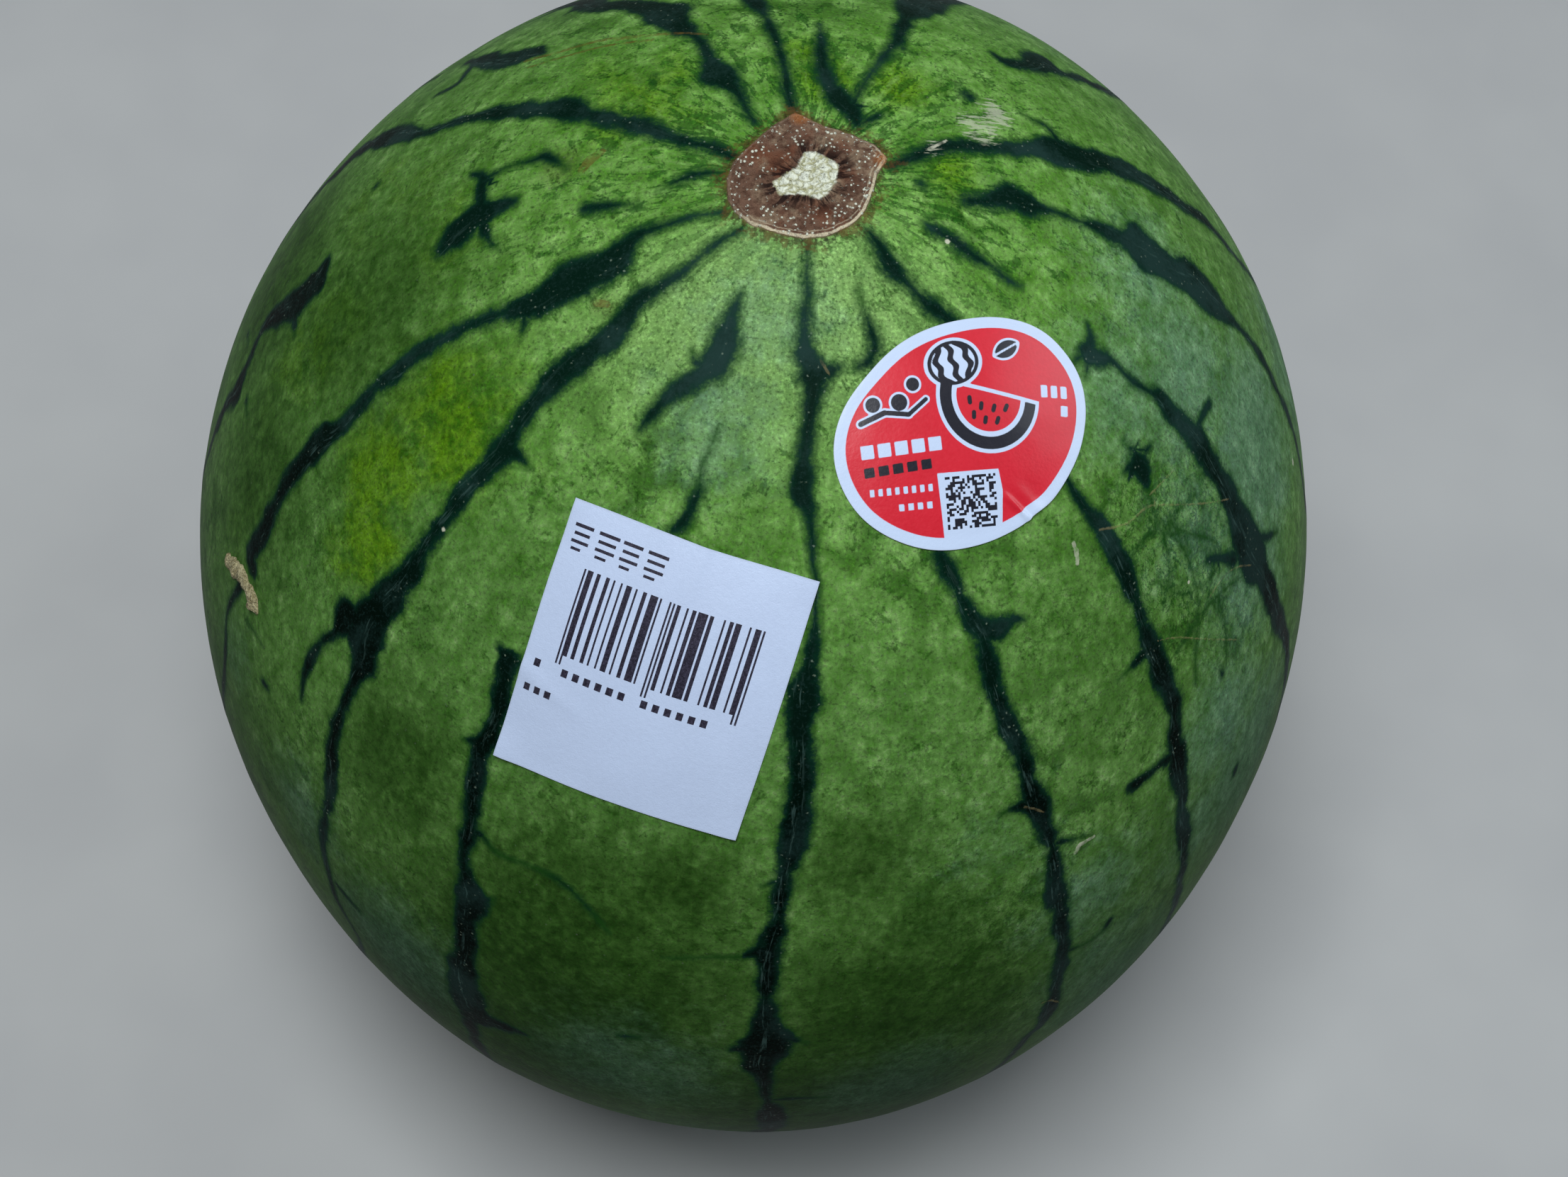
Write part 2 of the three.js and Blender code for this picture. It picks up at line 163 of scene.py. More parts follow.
    'R3': [(77.3, 24.66, 0.38), (75, 25.48, 1.1), (71.8, 25.94, 2.3), (74.7, 27.87, 1.1), (74.6, 30.12, 0.73), (75.5, 32.25, 0.72), (76.6, 34.07, 1.21), (75.9, 35.98, 1.67), (76.8, 38.12, 2.13), (77, 40.69, 2.74), (76.5, 43.13, 2.56), (76.3, 45.86, 2.58), (75.8, 48.28, 2.94), (75.3, 51.26, 3.83), (75.1, 54.18, 4.92), (75.7, 58.46, 3.2), (76.2, 62.35, 3.24), (76.4, 66.1, 2.91), (77.5, 70.16, 1.84), (78.7, 76.94, 1.7)],
    'R3b': [(78.3, 39.56, 0.98), (80, 39.63, 0.64), (83.2, 40.29, 0.81)],
}
TAILS = {
    'A2': [(-110, 63, 1.4), (-108, 70, 1.9), (-109, 80, 1.7), (-111, 92, 2.2), (-108, 104, 1.5), (-106, 116, 1.8), (-108, 130, 1.3), (-112, 145, 1.2), (-115, 158, 1.0), (-118, 168, 0.7)],
    'A4': [(-85.5, 78, 0.9), (-86, 86, 1.5), (-84, 97, 1.2), (-86, 110, 1.8), (-88, 124, 1.3), (-86, 140, 1.2), (-84, 158, 0.9), (-84, 168, 0.6)],
    'A5t': [(-64, 92, 0.8), (-66, 102, 1.5), (-65, 115, 1.7), (-62, 128, 1.4), (-64, 142, 1.2), (-60, 158, 0.9), (-60, 168, 0.6)],
    'A6': [(-37, 103, 1.2), (-40, 113, 1.6), (-42, 125, 1.5), (-40, 140, 1.3), (-38, 157, 0.9), (-36, 168, 0.6)],
    'Bb': [(-20, 104, 1.3), (-18, 114, 1.8), (-17, 127, 1.6), (-19, 141, 1.2), (-16, 157, 0.9), (-14, 168, 0.6)],
    'B10': [(9, 104, 2.2), (8, 114, 1.6), (6, 126, 1.9), (8, 140, 1.3), (9, 156, 1.0), (10, 168, 0.7)],
    'R1': [(33, 101, 1.3), (32, 112, 1.9), (34, 124, 1.6), (33, 139, 1.2), (30, 156, 0.9), (30, 168, 0.6)],
    'R2': [(54, 97, 1.2), (56, 108, 1.7), (55, 122, 1.6), (56, 138, 1.2), (54, 156, 0.9), (52, 168, 0.6)],
    'R3': [(78, 85, 1.5), (76, 95, 1.9), (77, 108, 2.1), (75, 122, 1.5), (76, 138, 1.3), (74, 156, 0.9), (72, 168, 0.6)],
    'B6': [(95, 70, 1.0), (97, 80, 1.5), (99, 91, 2.4), (98, 103, 1.8), (96, 117, 1.8), (97, 132, 1.4), (95, 148, 1.1), (93, 163, 0.8)],
    'B5': [(114, 56, 0.8), (117, 66, 1.4), (119, 78, 1.9), (118, 90, 1.6), (116, 104, 2.1), (118, 118, 1.5), (117, 134, 1.3), (114, 150, 1.0), (112, 164, 0.7)],
    'C1': [(138, 46, 1.0), (140, 58, 1.5), (141, 72, 2.1), (139, 86, 1.6), (140, 100, 2.2), (142, 115, 1.5), (139, 130, 1.4), (137, 148, 1.1), (135, 163, 0.7)],
    'A1': [],
}
HIDDEN = {
    'H1': [(164.3, 29, 3.0), (163, 36, 2.2), (161, 47, 1.6), (160, 60, 2.0), (162, 75, 2.6), (163, 88, 1.9), (161, 102, 2.3), (160, 117, 1.6), (162, 133, 1.3), (160, 150, 1.0), (158, 164, 0.7)],
    'H2': [(-163.3, 23.8, 1.4), (-163, 32, 1.5), (-165, 42, 2.2), (-167, 55, 1.6), (-168, 68, 2.3), (-166, 82, 2.9), (-167, 96, 2.0), (-169, 110, 1.8), (-168, 125, 1.5), (-170, 140, 1.2), (-172, 156, 0.9), (-174, 167, 0.6)],
    'H3': [(177, 36, 0.5), (178, 43, 1.2), (-178.5, 55, 1.7), (-179, 66, 1.1), (178, 78, 1.6), (179, 90, 1.2), (-179, 104, 1.6), (178, 118, 0.9)],
    'H4': [(-141.7, 34, 2.1), (-142, 42, 2.0), (-140, 54, 1.4), (-141, 66, 2.0), (-143, 80, 2.6), (-142, 93, 1.8), (-140, 107, 2.2), (-142, 121, 1.5), (-144, 137, 1.3), (-142, 153, 1.0), (-140, 166, 0.7)],
    'H5': [(-125.5, 50, 0.6), (-126, 60, 1.3), (-127, 72, 1.0), (-125, 84, 1.6), (-126, 97, 1.0), (-127, 109, 0.6)],
}
SPURS = {
    's_B10a': [(7.2, 58.08, 1.05), (6.1, 58.48, 0.63), (4.9, 58.92, 0.21)],
    's_B10b': [(6.3, 66.06, 1.92), (4.7, 66.58, 1.07), (3.7, 67.1, 0.32)],
    's_B10c': [(8.1, 77.73, 2.21), (9.5, 78.6, 0.89), (10.7, 79.18, 0.22)],
    's_B10d': [(5.7, 80.14, 2.23), (4.5, 80.25, 1.34), (3.8, 80.58, 0.45)],
    's_B10e': [(3.9, 67.08, 0.32), (0.8, 67.58, 0.21), (-3.3, 68.69, 0.16)],
    's_B10f': [(8.4, 90.96, 0.69), (11, 90.74, 0.69), (13.7, 91.31, 0.35)],
    's_A6a': [(-42.4, 31.46, 1.43), (-40.1, 31.31, 0.72), (-38.4, 31.37, 0.2)],
    's_A5a': [(-58.9, 19.24, 1.44), (-56, 18.91, 0.51)],
    's_A5b': [(-60.2, 24.44, 1.03), (-57.1, 25.38, 0.31)],
    's_R1a': [(32.5, 38.5, 2.1), (34.6, 38.6, 1.8), (36.6, 38.4, 1.15), (38.0, 38.9, 0.5)],
    's_R1b': [(33, 55.53, 1.27), (31.3, 55.38, 0.53), (30, 55.5, 0.21)],
    's_R1c': [(36.1, 61.63, 0.86), (37.9, 62.27, 0.54), (39.6, 62.83, 0.22)],
    's_R1d': [(36.6, 77.8, 0.68), (39.7, 78.88, 0.34), (42.5, 78.92, 0.34)],
    's_R2a': [(53.1, 49.06, 1.5), (51.1, 49.03, 0.85), (49.5, 49.1, 0.32), (47.8, 49.16, 0.16)],
    's_R3a': [(71.5, 51.73, 1.33), (69.1, 49.34, 0.88), (67.3, 48.04, 0.55)],
    's_R3b': [(76.8, 53.99, 1.35), (79.7, 56.94, 0.68), (81.9, 58.83, 0.23)],
    's_Ba': [(-26.8, 54.1, 1.47), (-28, 54.62, 0.84), (-29, 54.99, 0.21)],
    's_Bb': [(-24.4, 63.04, 1.07), (-23.4, 62.91, 0.54)],
    's_Bc': [(-22.3, 70.61, 1.53), (-20.9, 69.74, 0.65), (-20.4, 69.17, 0.22)],
    's_B3a': [(-178.2, 15.14, 0.65), (-175.2, 15.13, 0.32)],
    's_B5a': [(117.5, 23.24, 1.3), (121.3, 23.32, 0.87), (124.7, 23.01, 0.65), (126.6, 21.86, 0.43), (128.4, 21.13, 0.22)],
    's_R3c': [(72.2, 25.83, 1.04), (70, 25.15, 0.62), (66.9, 24.99, 0.31)],
    's_R3d': [(72.2, 25.83, 1.04), (69.8, 26.3, 0.63), (68, 26.55, 0.21)],
    's_R3e': [(66.6, 33.4, 0.32), (65.9, 34.93, 2.1), (65.2, 36.16, 1.5), (64.3, 37.6, 0.32)],
    's_R3f': [(62.4, 34.3, 0.45), (65.9, 34.8, 1.3), (69.4, 35.2, 0.5)],
    'v1': [(55.5, 40.5, 0.22), (59, 40.2, 0.24), (63, 40.6, 0.3), (67, 41.5, 0.25), (71, 42.5, 0.2)],
    'v2': [(63, 40.6, 0.28), (62, 43, 0.26), (60, 45.5, 0.24), (57.5, 47, 0.2)],
    'v3': [(64, 40.8, 0.28), (66, 43.5, 0.26), (68.5, 46, 0.24), (70, 48, 0.2)],
    'v4': [(64.3, 37.6, 0.26), (63, 40.6, 0.3), (64.5, 44, 0.24), (64, 48, 0.24), (62.5, 51, 0.2)],
    'v5': [(57, 52, 0.22), (61, 51.5, 0.28), (65, 51.8, 0.28), (69, 53, 0.24), (72, 54.5, 0.2)],
    'v6': [(62, 51.5, 0.28), (60, 54, 0.24), (58.5, 57, 0.2)],
    'v7': [(65, 51.8, 0.28), (66, 55, 0.26), (64.5, 59, 0.2)],
    'v8': [(58, 44, 0.2), (61, 47.5, 0.24), (65, 49.5, 0.24), (69, 50, 0.2)],
    's_g1': [(63.5, 75.76, 0.94), (63.2, 76.41, 0.7)],
    's_g2': [(42.5, 77.94, 0.8), (42, 78.66, 0.57)],
    's_g3': [(63.1, 60.05, 0.67), (62.8, 59.08, 0.45)],
    's_g4': [(65.7, 33.36, 0.42), (65.8, 32.64, 0.21)],
    's_B4a': [(159.3, 17.82, 0.65), (156.5, 18.02, 0.22)],
    's_B4b': [(149.8, 6.93, 0.63), (147.4, 8.37, 0.63), (146.9, 9.66, 0.32)],
    's_A1b': [(-128.7, 16.96, 0.43), (-127.3, 16.54, 0.32)],
    's_A4b': [(-55.3, 72.92, 0.8), (-54.3, 72.6, 0.57)],
    's_A4c': [(-93.1, 65.14, 0.6), (-90.8, 63.71, 0.24)],
    's_A4d': [(-82.7, 62.1, 0.58), (-80.7, 61.8, 0.23)],
    's_A5c': [(-61.4, 70.87, 0.35), (-59.1, 69.99, 0.23), (-57.3, 69.56, 0.11)],
    's_bt': [(-6.2, 81.24, 0.67), (-4.6, 80.7, 0.45)],
    's_n1': [(-88, 6.6, 0.5), (-87, 8.2, 0.85), (-84, 9.8, 0.62), (-80, 11.2, 0.3)],
    's_B11s': [(-17.6, 16.6, 1.5), (-14.2, 16.2, 0.8), (-12.0, 15.6, 0.3)],
    's_B11t': [(-19.3, 17.4, 1.3), (-22.6, 17.2, 0.7), (-25.0, 16.6, 0.3)],
    's_B10t': [(8.2, 16.3, 1.9), (12.5, 16.0, 1.2), (17.0, 15.6, 0.5)],
    's_B8a': [(98.9, 8.73, 0.83), (97.3, 8.89, 0.52)],
}
MARKS = {
    'scr1': [(-124.4, 32.63, 0.17), (-126.2, 30.53, 0.17), (-128.4, 28.7, 0.17), (-132.9, 26.16, 0.17), (-137.3, 23.34, 0.17), (-142.9, 21.04, 0.16), (-149.1, 18.71, 0.11)],
    'scr1b': [(-122.7, 31.05, 0.11), (-126.7, 27.7, 0.13), (-132.2, 24.66, 0.13), (-138, 21.53, 0.11)],
    'pale1': [(124.3, 14.09, 0.21), (127.2, 16.42, 0.32), (129.2, 18.83, 0.32), (130.9, 21.21, 0.22)],
    'pale1b': [(127.1, 15.28, 0.16), (129.1, 17.38, 0.21), (130.4, 18.77, 0.16)],
    'pale2': [(118.8, 10.03, 0.16), (120.6, 11.08, 0.21), (122.2, 12.17, 0.16)],
    'tick1': [(49.1, 35.56, 0.26), (48.9, 36.42, 0.36), (48.3, 37.22, 0.31)],
    'tickA': [(38.3, 64.19, 0.33), (38.7, 64.12, 0.33)],
    'tickB': [(38.8, 63.42, 0.22), (39.7, 63.64, 0.27), (41, 63.77, 0.22)],
    'w1': [(92.7, 61.01, 0.35), (92.7, 61.38, 0.35)],
    'w3': [(74.5, 11.56, 0.26), (74.3, 11.7, 0.26)],
    'w4': [(-44.1, 40.45, 0.21), (-44, 40.73, 0.21)],
    'cr1': [(33, 55.82, 0.13), (34.2, 56.59, 0.16), (35.3, 57.55, 0.11)],
    'br1': [(34.7, 85.48, 0.14), (35.7, 85.86, 0.17), (37.2, 88.14, 0.12)],
    'c5': [(10.8, 15.02, 0.15), (11.9, 15.57, 0.2), (13.1, 16.23, 0.1)],
    'f1': [(53.7, 36.23, 0.13), (58.4, 37.77, 0.13), (62.9, 38.46, 0.16), (67.2, 41, 0.13), (71.6, 44.12, 0.11), (75.9, 47.29, 0.11)],
    'f2': [(64.9, 51.17, 0.13), (68.5, 51.44, 0.13), (71.5, 52.82, 0.13), (74.1, 55.17, 0.11)],
    'f3': [(63.8, 37.81, 0.11), (67.3, 38.28, 0.13), (69.9, 38.75, 0.11)],
    'f4': [(54.8, 48.91, 0.11), (58, 50.69, 0.11), (62.1, 54.14, 0.13), (67.2, 59.07, 0.11)],
    'brn1': [(-92.8, 17.88, 0.63), (-96, 17.32, 0.84), (-98.4, 16.59, 0.53)],
    'brn2': [(-52.8, 18.82, 0.51), (-50.6, 18.17, 0.41)],
}
# outline of the corky scar and of its pale pith: longitude, polar angle
SCAR = [(-165.2, 6.35), (173.8, 5.15), (149.3, 5.44), (130.6, 6.26), (116.8, 6.5), (104.8, 5.35), (86.1, 5.04), (62.6, 5.17), (43.9, 5.3), (21.0, 5.42), (4.1, 5.51), (-15.4, 5.59), (-37.0, 6.12), (-50.1, 6.34), (-63.3, 6.39), (-81.0, 6.13), (-97.2, 5.77), (-118.8, 5.23), (-148.6, 5.66)]
PITH = [(-167.4, 2.32), (173.7, 2.54), (124.8, 2.76), (90.3, 2.16), (47.0, 2.07), (29.4, 2.09), (-12.9, 1.56), (-44.8, 2.70), (-70.7, 2.72), (-91.1, 1.87), (-133.3, 1.22)]
CORK = [(-69.5, 71.5, 0.62), (-67.7, 70.2, 0.85), (-65.8, 68.7, 0.75), (-63.8, 68.05, 0.72), (-61.9, 67.8, 0.85), (-60.1, 67.9, 0.55)]


# ------------------------------------------------------------------ paths on the skin
def dense(rows, step=0.5):
    """Catmull-Rom through the rows on the skin: points, half widths and length along, in mm."""
    rows = np.asarray(rows, float)
    p = skin(direction(rows[:, 0], rows[:, 1]))
    q = np.concatenate([p, rows[:, 2:3]], 1)
    if len(q) == 1:
        q = np.concatenate([q, q + np.array([[0.15, 0, 0, 0]])])
    pad = np.concatenate([[2 * q[0] - q[1]], q, [2 * q[-1] - q[-2]]])
    out = []
    for i in range(1, len(pad) - 2):
        p0, p1, p2, p3 = pad[i - 1:i + 3]
        n = max(1, int(np.linalg.norm((p2 - p1)[:3]) / step))
        t = (np.arange(n) / n)[:, None]
        c = 0.5 * (2 * p1 + (p2 - p0) * t + (2 * p0 - 5 * p1 + 4 * p2 - p3) * t ** 2 + (3 * p1 - p0 - 3 * p2 + p3) * t ** 3)
        c[:, 3] = (p1[3] + (p2[3] - p1[3]) * (t[:, 0] ** 2 * (3 - 2 * t[:, 0])))
        out.append(c)
    out.append(pad[-2:-1])
    c = np.concatenate(out)
    pts = skin(unit(c[:, :3]))
    arc = np.concatenate([[0], np.cumsum(np.linalg.norm(np.diff(pts, axis=0), axis=1))])
    return pts, np.maximum(c[:, 3], 0.08), arc


def path_frame(pts):
    t = unit(np.gradient(pts, axis=0))
    n = unit(pts)
    return t, np.cross(n, t), n


class Layer:
    """Per vertex: signed distance to the side of the nearest path, distance past its end, its half width, length along."""

    def __init__(self, verts, hold=0.7):
        self.hold = hold
        self.v = verts
        self.val = np.tile(np.array([7.0, 0.0, -10.0]), (len(verts), 1))
        self.t = np.zeros(len(verts))
        self.kind = np.zeros(len(verts))
        self.id = np.full(len(verts), -1)
        self.count = 0
        self.best = np.full(len(verts), -9.0)

    def add(self, rows, reach=4.5, phase=0.0, path=None, kind=0.0):
        pts, rad, arc = path if path is not None else dense(rows)
        t, b, _ = path_frame(pts)
        m = reach + rad.max()
        near = np.all((self.v > pts.min(0) - m) & (self.v < pts.max(0) + m), axis=1)
        idx = np.nonzero(near)[0]
        for part in np.array_split(idx, max(1, len(idx) * len(pts) // 4000000 + 1)):
            if not len(part):
                continue
            d = ((self.v[part][:, None, :] - pts[None]) ** 2).sum(-1)
            j = d.argmin(1)
            w = self.v[part] - pts[j]
            along = (w * t[j]).sum(1)
            s = (w * b[j]).sum(1)
            e = np.where((j == 0) & (along < 0), -along, np.where((j == len(pts) - 1) & (along > 0), along, 0))
            r = rad[j]
            g = np.hypot(s, e) - r
            reff = r - 2 * np.maximum(0, g - self.hold)
            score = reff - np.hypot(s, e)
            take = (g < reach) & (score > self.best[part])
            k = part[take]
            self.best[k] = score[take]
            self.val[k] = np.stack([s, e, reff], 1)[take]
            self.t[k] = (arc[j] + along + phase)[take]
            self.kind[k] = kind
            self.id[k] = self.count
        self.count += 1

    def settle(self, faces):
        """Give neighbouring paths the same sign where they face each other, so that nothing is drawn between them."""
        e = np.concatenate([faces[:, :2], faces[:, 1:3]])
        a, b = e[:, 0], e[:, 1]
        ia, ib = self.id[a], self.id[b]
        use = (ia != ib) & (ia >= 0) & (ib >= 0) & (np.minimum(self.val[a, 2], self.val[b, 2]) > -1.5)
        a, b, ia, ib = a[use], b[use], ia[use], ib[use]
        clash = np.where(self.val[a, 0] * self.val[b, 0] < 0, 1.0, -1.0)
        c = np.zeros((self.count, self.count))
        np.add.at(c, (ia, ib), clash)
        np.add.at(c, (ib, ia), clash)
        flip = np.ones(self.count)
        for _ in range(60):
            gain = flip * (c @ flip)
            k = int(gain.argmax())
            if gain[k] <= 0:
                break
            flip[k] = -flip[k]
        on = self.id >= 0
        self.val[on, 0] *= flip[self.id[on]]


BRANCH = {'A3u', 'A3v', 'A3d', 'A4s', 'A5t', 'A6l', 'A6t', 'Bb', 'Bc', 'R2b', 'R3b', 'A1t', 'B9', 'B11b', 'dsh', 'C1b', 'dot1'}


WHITE = {'pale2', 'tickA', 'tickB', 'tick1'}
CHALKY = {'pale1', 'pale1b', 'w1', 'w3', 'w4'}


def stripe_layers(verts):
    one, two, marks = Layer(verts), Layer(verts), Layer(verts)
    phase = 0.0
    for name, rows in MAIN.items():
        rows = list(rows) + TAILS.get(name, [])
        k = 0.88 if name in ('R1', 'R2', 'R3') else 1.2 if name == 'dsh' else 1.0
        rows = [(lo, po, r * k) for lo, po, r in rows]
        phase += 37.0
        (two if name in BRANCH else one).add(rows, phase=phase)
    for name, rows in HIDDEN.items():
        phase += 37.0
        one.add(rows, phase=phase)
    for name, rows in SPURS.items():
        phase += 11.0
        two.add(rows, phase=phase)
    # spurs on the far side and the lower end, in the same manner
    rng = np.random.default_rng(7)
    for name, rows in list(TAILS.items()) + list(HIDDEN.items()):
        if len(rows) < 3:
            continue
        pts, rad, arc = dense(rows)
        t, b, n = path_frame(pts)
        at = 6.0
        while at < arc[-1] - 10:
            j = int(np.searchsorted(arc, at))
            side = rng.choice([-1, 1])
            reach = rad[j] + rng.uniform(0.8, 4.2)
            bend = rng.uniform(-0.5, 1.1)
            k = np.linspace(0, 1, 8)[:, None]
            q = pts[j] + side * b[j] * reach * k + t[j] * reach * bend * k ** 2
            q = skin(unit(q))
            w = np.interp(np.linspace(0, 1, 8), [0, 0.4, 1], [rad[j] * 0.75, rad[j] * 0.45, 0.15])
            a = np.concatenate([[0], np.cumsum(np.linalg.norm(np.diff(q, axis=0), axis=1))])
            two.add(None, path=(q, w, a), phase=phase)
            at += rng.uniform(7, 19)
            phase += 5
    for name, rows in MARKS.items():
        if rows and name not in CHALKY:
            if name[:3] == 'scr':
                rows = [(lo, po, r * 1.9) for lo, po, r in rows]
            marks.add(rows, reach=2.5, kind=0.0 if name in WHITE else 2.0 if name[:3] in ('scr', 'brn') else 1.0)
    return one, two, marks


# ------------------------------------------------------------------ the fruit
def undulate(u):
    """Slow swells of the skin, mm."""
    p = u * 87.0
    return 0.22 * fbm(p / 30.0 + 11, 2, 3) + 0.06 * fbm(p / 9.0 + 5, 2, 9)


def polar_of(u):
    lon = np.degrees(np.arctan2(u[..., 0], -u[..., 1]))
    return lon, np.degrees(np.arccos(np.clip(u[..., 2], -1, 1)))


def ring_distance(u, table):
    """Distance outside (positive) a closed outline about the pole, mm, and distance from the pole."""
    lon, pol = polar_of(u)
    rho = np.radians(pol) * 95.6
    l, r = np.radians(np.array(sorted(table)).T)
    poly = np.stack([np.sin(l), -np.cos(l)], 1) * (r * 95.6)[:, None]
    k = np.radians(lon)
    p = np.stack([np.sin(k), -np.cos(k)], 1) * rho[:, None]
    out = np.maximum(rho - 8.0, 0.0)
    close = rho < 30
    out[close] = sd_poly(p[close], poly)
    return out, rho


def sd_poly(p, poly):
    """Signed distance to a polygon in a plane, negative inside."""
    poly = np.asarray(poly, float)
    best = np.full(len(p), 1e9)
    inside = np.zeros(len(p), bool)
    for a, b in zip(poly, np.roll(poly, -1, 0)):
        e, w = b - a, p - a
        t = np.clip((w @ e) / (e @ e), 0, 1)
        best = np.minimum(best, np.hypot(*(w - t[:, None] * e).T))
        cross = (a[1] > p[:, 1]) != (b[1] > p[:, 1])
        with np.errstate(divide='ignore', invalid='ignore'):
            x = (b[0] - a[0]) * (p[:, 1] - a[1]) / (b[1] - a[1]) + a[0]
        inside ^= cross & (p[:, 0] < x)
    return np.where(inside, -best, best)


TOP_W = 0.62


def fruit_dirs(n):
    lin = np.tan(np.linspace(-1, 1, n + 1) * math.pi / 4)
    a, b = np.meshgrid(lin, lin, indexing='xy')
    one = np.ones_like(a)
    sides = [(a, b, one), (a, -b, -one), (one, a, b), (-one, -a, b), (-a, one, b), (a, -one, b)]
    return unit(np.stack([np.stack(s, -1) for s in sides]))


def new_mesh(name, verts_m, faces, smooth=True):
    me = bpy.data.meshes.new(name)
    me.from_pydata(np.asarray(verts_m).tolist(), [], [list(map(int, f)) for f in faces])
    me.polygons.foreach_set('use_smooth', [smooth] * len(me.polygons))
    ob = bpy.data.objects.new(name, me)
    bpy.context.scene.collection.objects.link(ob)
    return ob


def put(me, name, kind, data):
    at = me.attributes.new(name, kind, 'POINT')
    at.data.foreach_set('vector' if kind == 'FLOAT_VECTOR' else 'value', np.asarray(data, np.float32).ravel())


def build_fruit():
    n = 124
    d = fruit_dirs(n)
    flat = d.reshape(-1, 3)
    key = np.round(flat, 5) + 0.0
    _, first, inv = np.unique(key, axis=0, return_index=True, return_inverse=True)
    inv = inv.reshape(6, n + 1, n + 1)
    u = flat[first]
    # gather the mesh towards the scar
    th = np.arccos(np.clip(u[:, 2], -1, 1))
    f = th - 0.78 * th * np.exp(-th / TOP_W)
    s = np.where(th > 1e-9, np.sin(f) / np.maximum(np.sin(th), 1e-9), 0)
    u = np.stack([u[:, 0] * s, u[:, 1] * s, np.cos(f)], -1)
    u = unit(u)
    base = skin(u)
    one, two, marks = stripe_layers(base)
    a = inv[:, :-1, :-1].ravel(); b = inv[:, :-1, 1:].ravel(); c = inv[:, 1:, 1:].ravel(); e = inv[:, 1:, :-1].ravel()
    faces = np.stack([a, b, c, e], 1)
    for layer in (one, two, marks):
        layer.settle(faces)
    sd, rho = ring_distance(u, SCAR)
    pd, _ = ring_distance(u, PITH)
    # relief, mm
    h = undulate(u)
    m1 = np.maximum(one.best, two.best)
    h = h + 0.035 * sstep(m1, -0.4, 0.6)
    crumb = fbm(base / 1.25 + 3, 3, 21)
    grain = fbm(base / 0.8 + 9, 2, 31)
    inside = 1 - sstep(sd, -0.5, 0.3)
    rim = (0.42 + 0.2 * fbm(base / 2.4, 2, 5)) * np.exp(-((sd + 0.5) / 0.5) ** 2)
    ring = inside * (0.0 + 0.16 * crumb + 0.07 * grain) * sstep(pd, -0.3, 0.9)
    pith = (1 - sstep(pd, -0.7, 0.3)) * (-0.25 + 0.38 * crumb + 0.16 * grain)
    groove = -0.28 * np.exp(-((pd - 0.8) / 0.5) ** 2) * inside
    outer = -0.12 * np.exp(-((sd - 1.0) / 0.8) ** 2)
    h = h + np.where(rho < 25, rim + ring + pith + groove + outer, 0)
    # small blemishes stand a little proud of the skin
    ms = marks.val[:, 2] - np.hypot(marks.val[:, 0], marks.val[:, 1])
    h = h + 0.05 * sstep(ms, -0.3, 0.1)
    p = base + normal(u) * h[:, None]
    p[:, 2] = np.maximum(p[:, 2], FOOT_Z)
    ob = new_mesh('watermelon_fruit', to_world(p), faces)
    me = ob.data
    put(me, 'stripe1', 'FLOAT_VECTOR', one.val)
    put(me, 'stripe2', 'FLOAT_VECTOR', two.val)
    put(me, 'marks', 'FLOAT_VECTOR', marks.val)
    put(me, 'along', 'FLOAT_VECTOR', np.stack([one.t, two.t, marks.kind], 1))
    put(me, 'scar', 'FLOAT_VECTOR', np.stack([np.clip(sd, -20, 20), np.clip(pd, -20, 20), rho], 1))
    lon, pol = polar_of(u)
    rl = np.radians(lon)
    arc = np.radians(pol) * 90
    put(me, 'wrap', 'FLOAT_VECTOR', np.stack([85 * np.sin(rl), -85 * np.cos(rl), arc], 1))
    # tone: yellow-green, waxy bloom with painted sheen, darker green with painted shade; tone2: crackle, dull patches,
    # chalk
    for name, zones in (('tone', (YELLOW, BLOOM_AND_SHEEN, DEEP_AND_SHADE)), ('tone2', (CRACKLE, DUSK, CHALK))):
        tone = np.zeros((len(u), 3))
        for k, spots in enumerate(zones):
            for lo, po, size, amount in spots:
                q = direction(lo, po)
                dist = np.arccos(np.clip(u @ q, -1, 1)) * 88
                tone[:, k] = np.maximum(tone[:, k], amount * np.exp(-(dist / size) ** 2))
        put(me, name, 'FLOAT_VECTOR', tone)
    # one unwrapping square per side of the grid
    uv = me.uv_layers.new(name='OFBake')
    g = np.arange(n) / n
    cells = []
    for side in range(6):
        cx, cy = side % 3, side // 3
        i, j = np.meshgrid(g, g, indexing='xy')
        st = 1.0 / n
        q = np.stack([np.stack([i, j], -1), np.stack([i + st, j], -1), np.stack([i + st, j + st], -1), np.stack([i, j + st], -1)], 2)
        q = 0.008 + q * 0.984
        q = (q + np.array([cx, cy])) / np.array([3.0, 2.0])
        cells.append(q.reshape(-1, 2))
    uv.data.foreach_set('uv', np.concatenate(cells).astype(np.float32).ravel())
    return ob


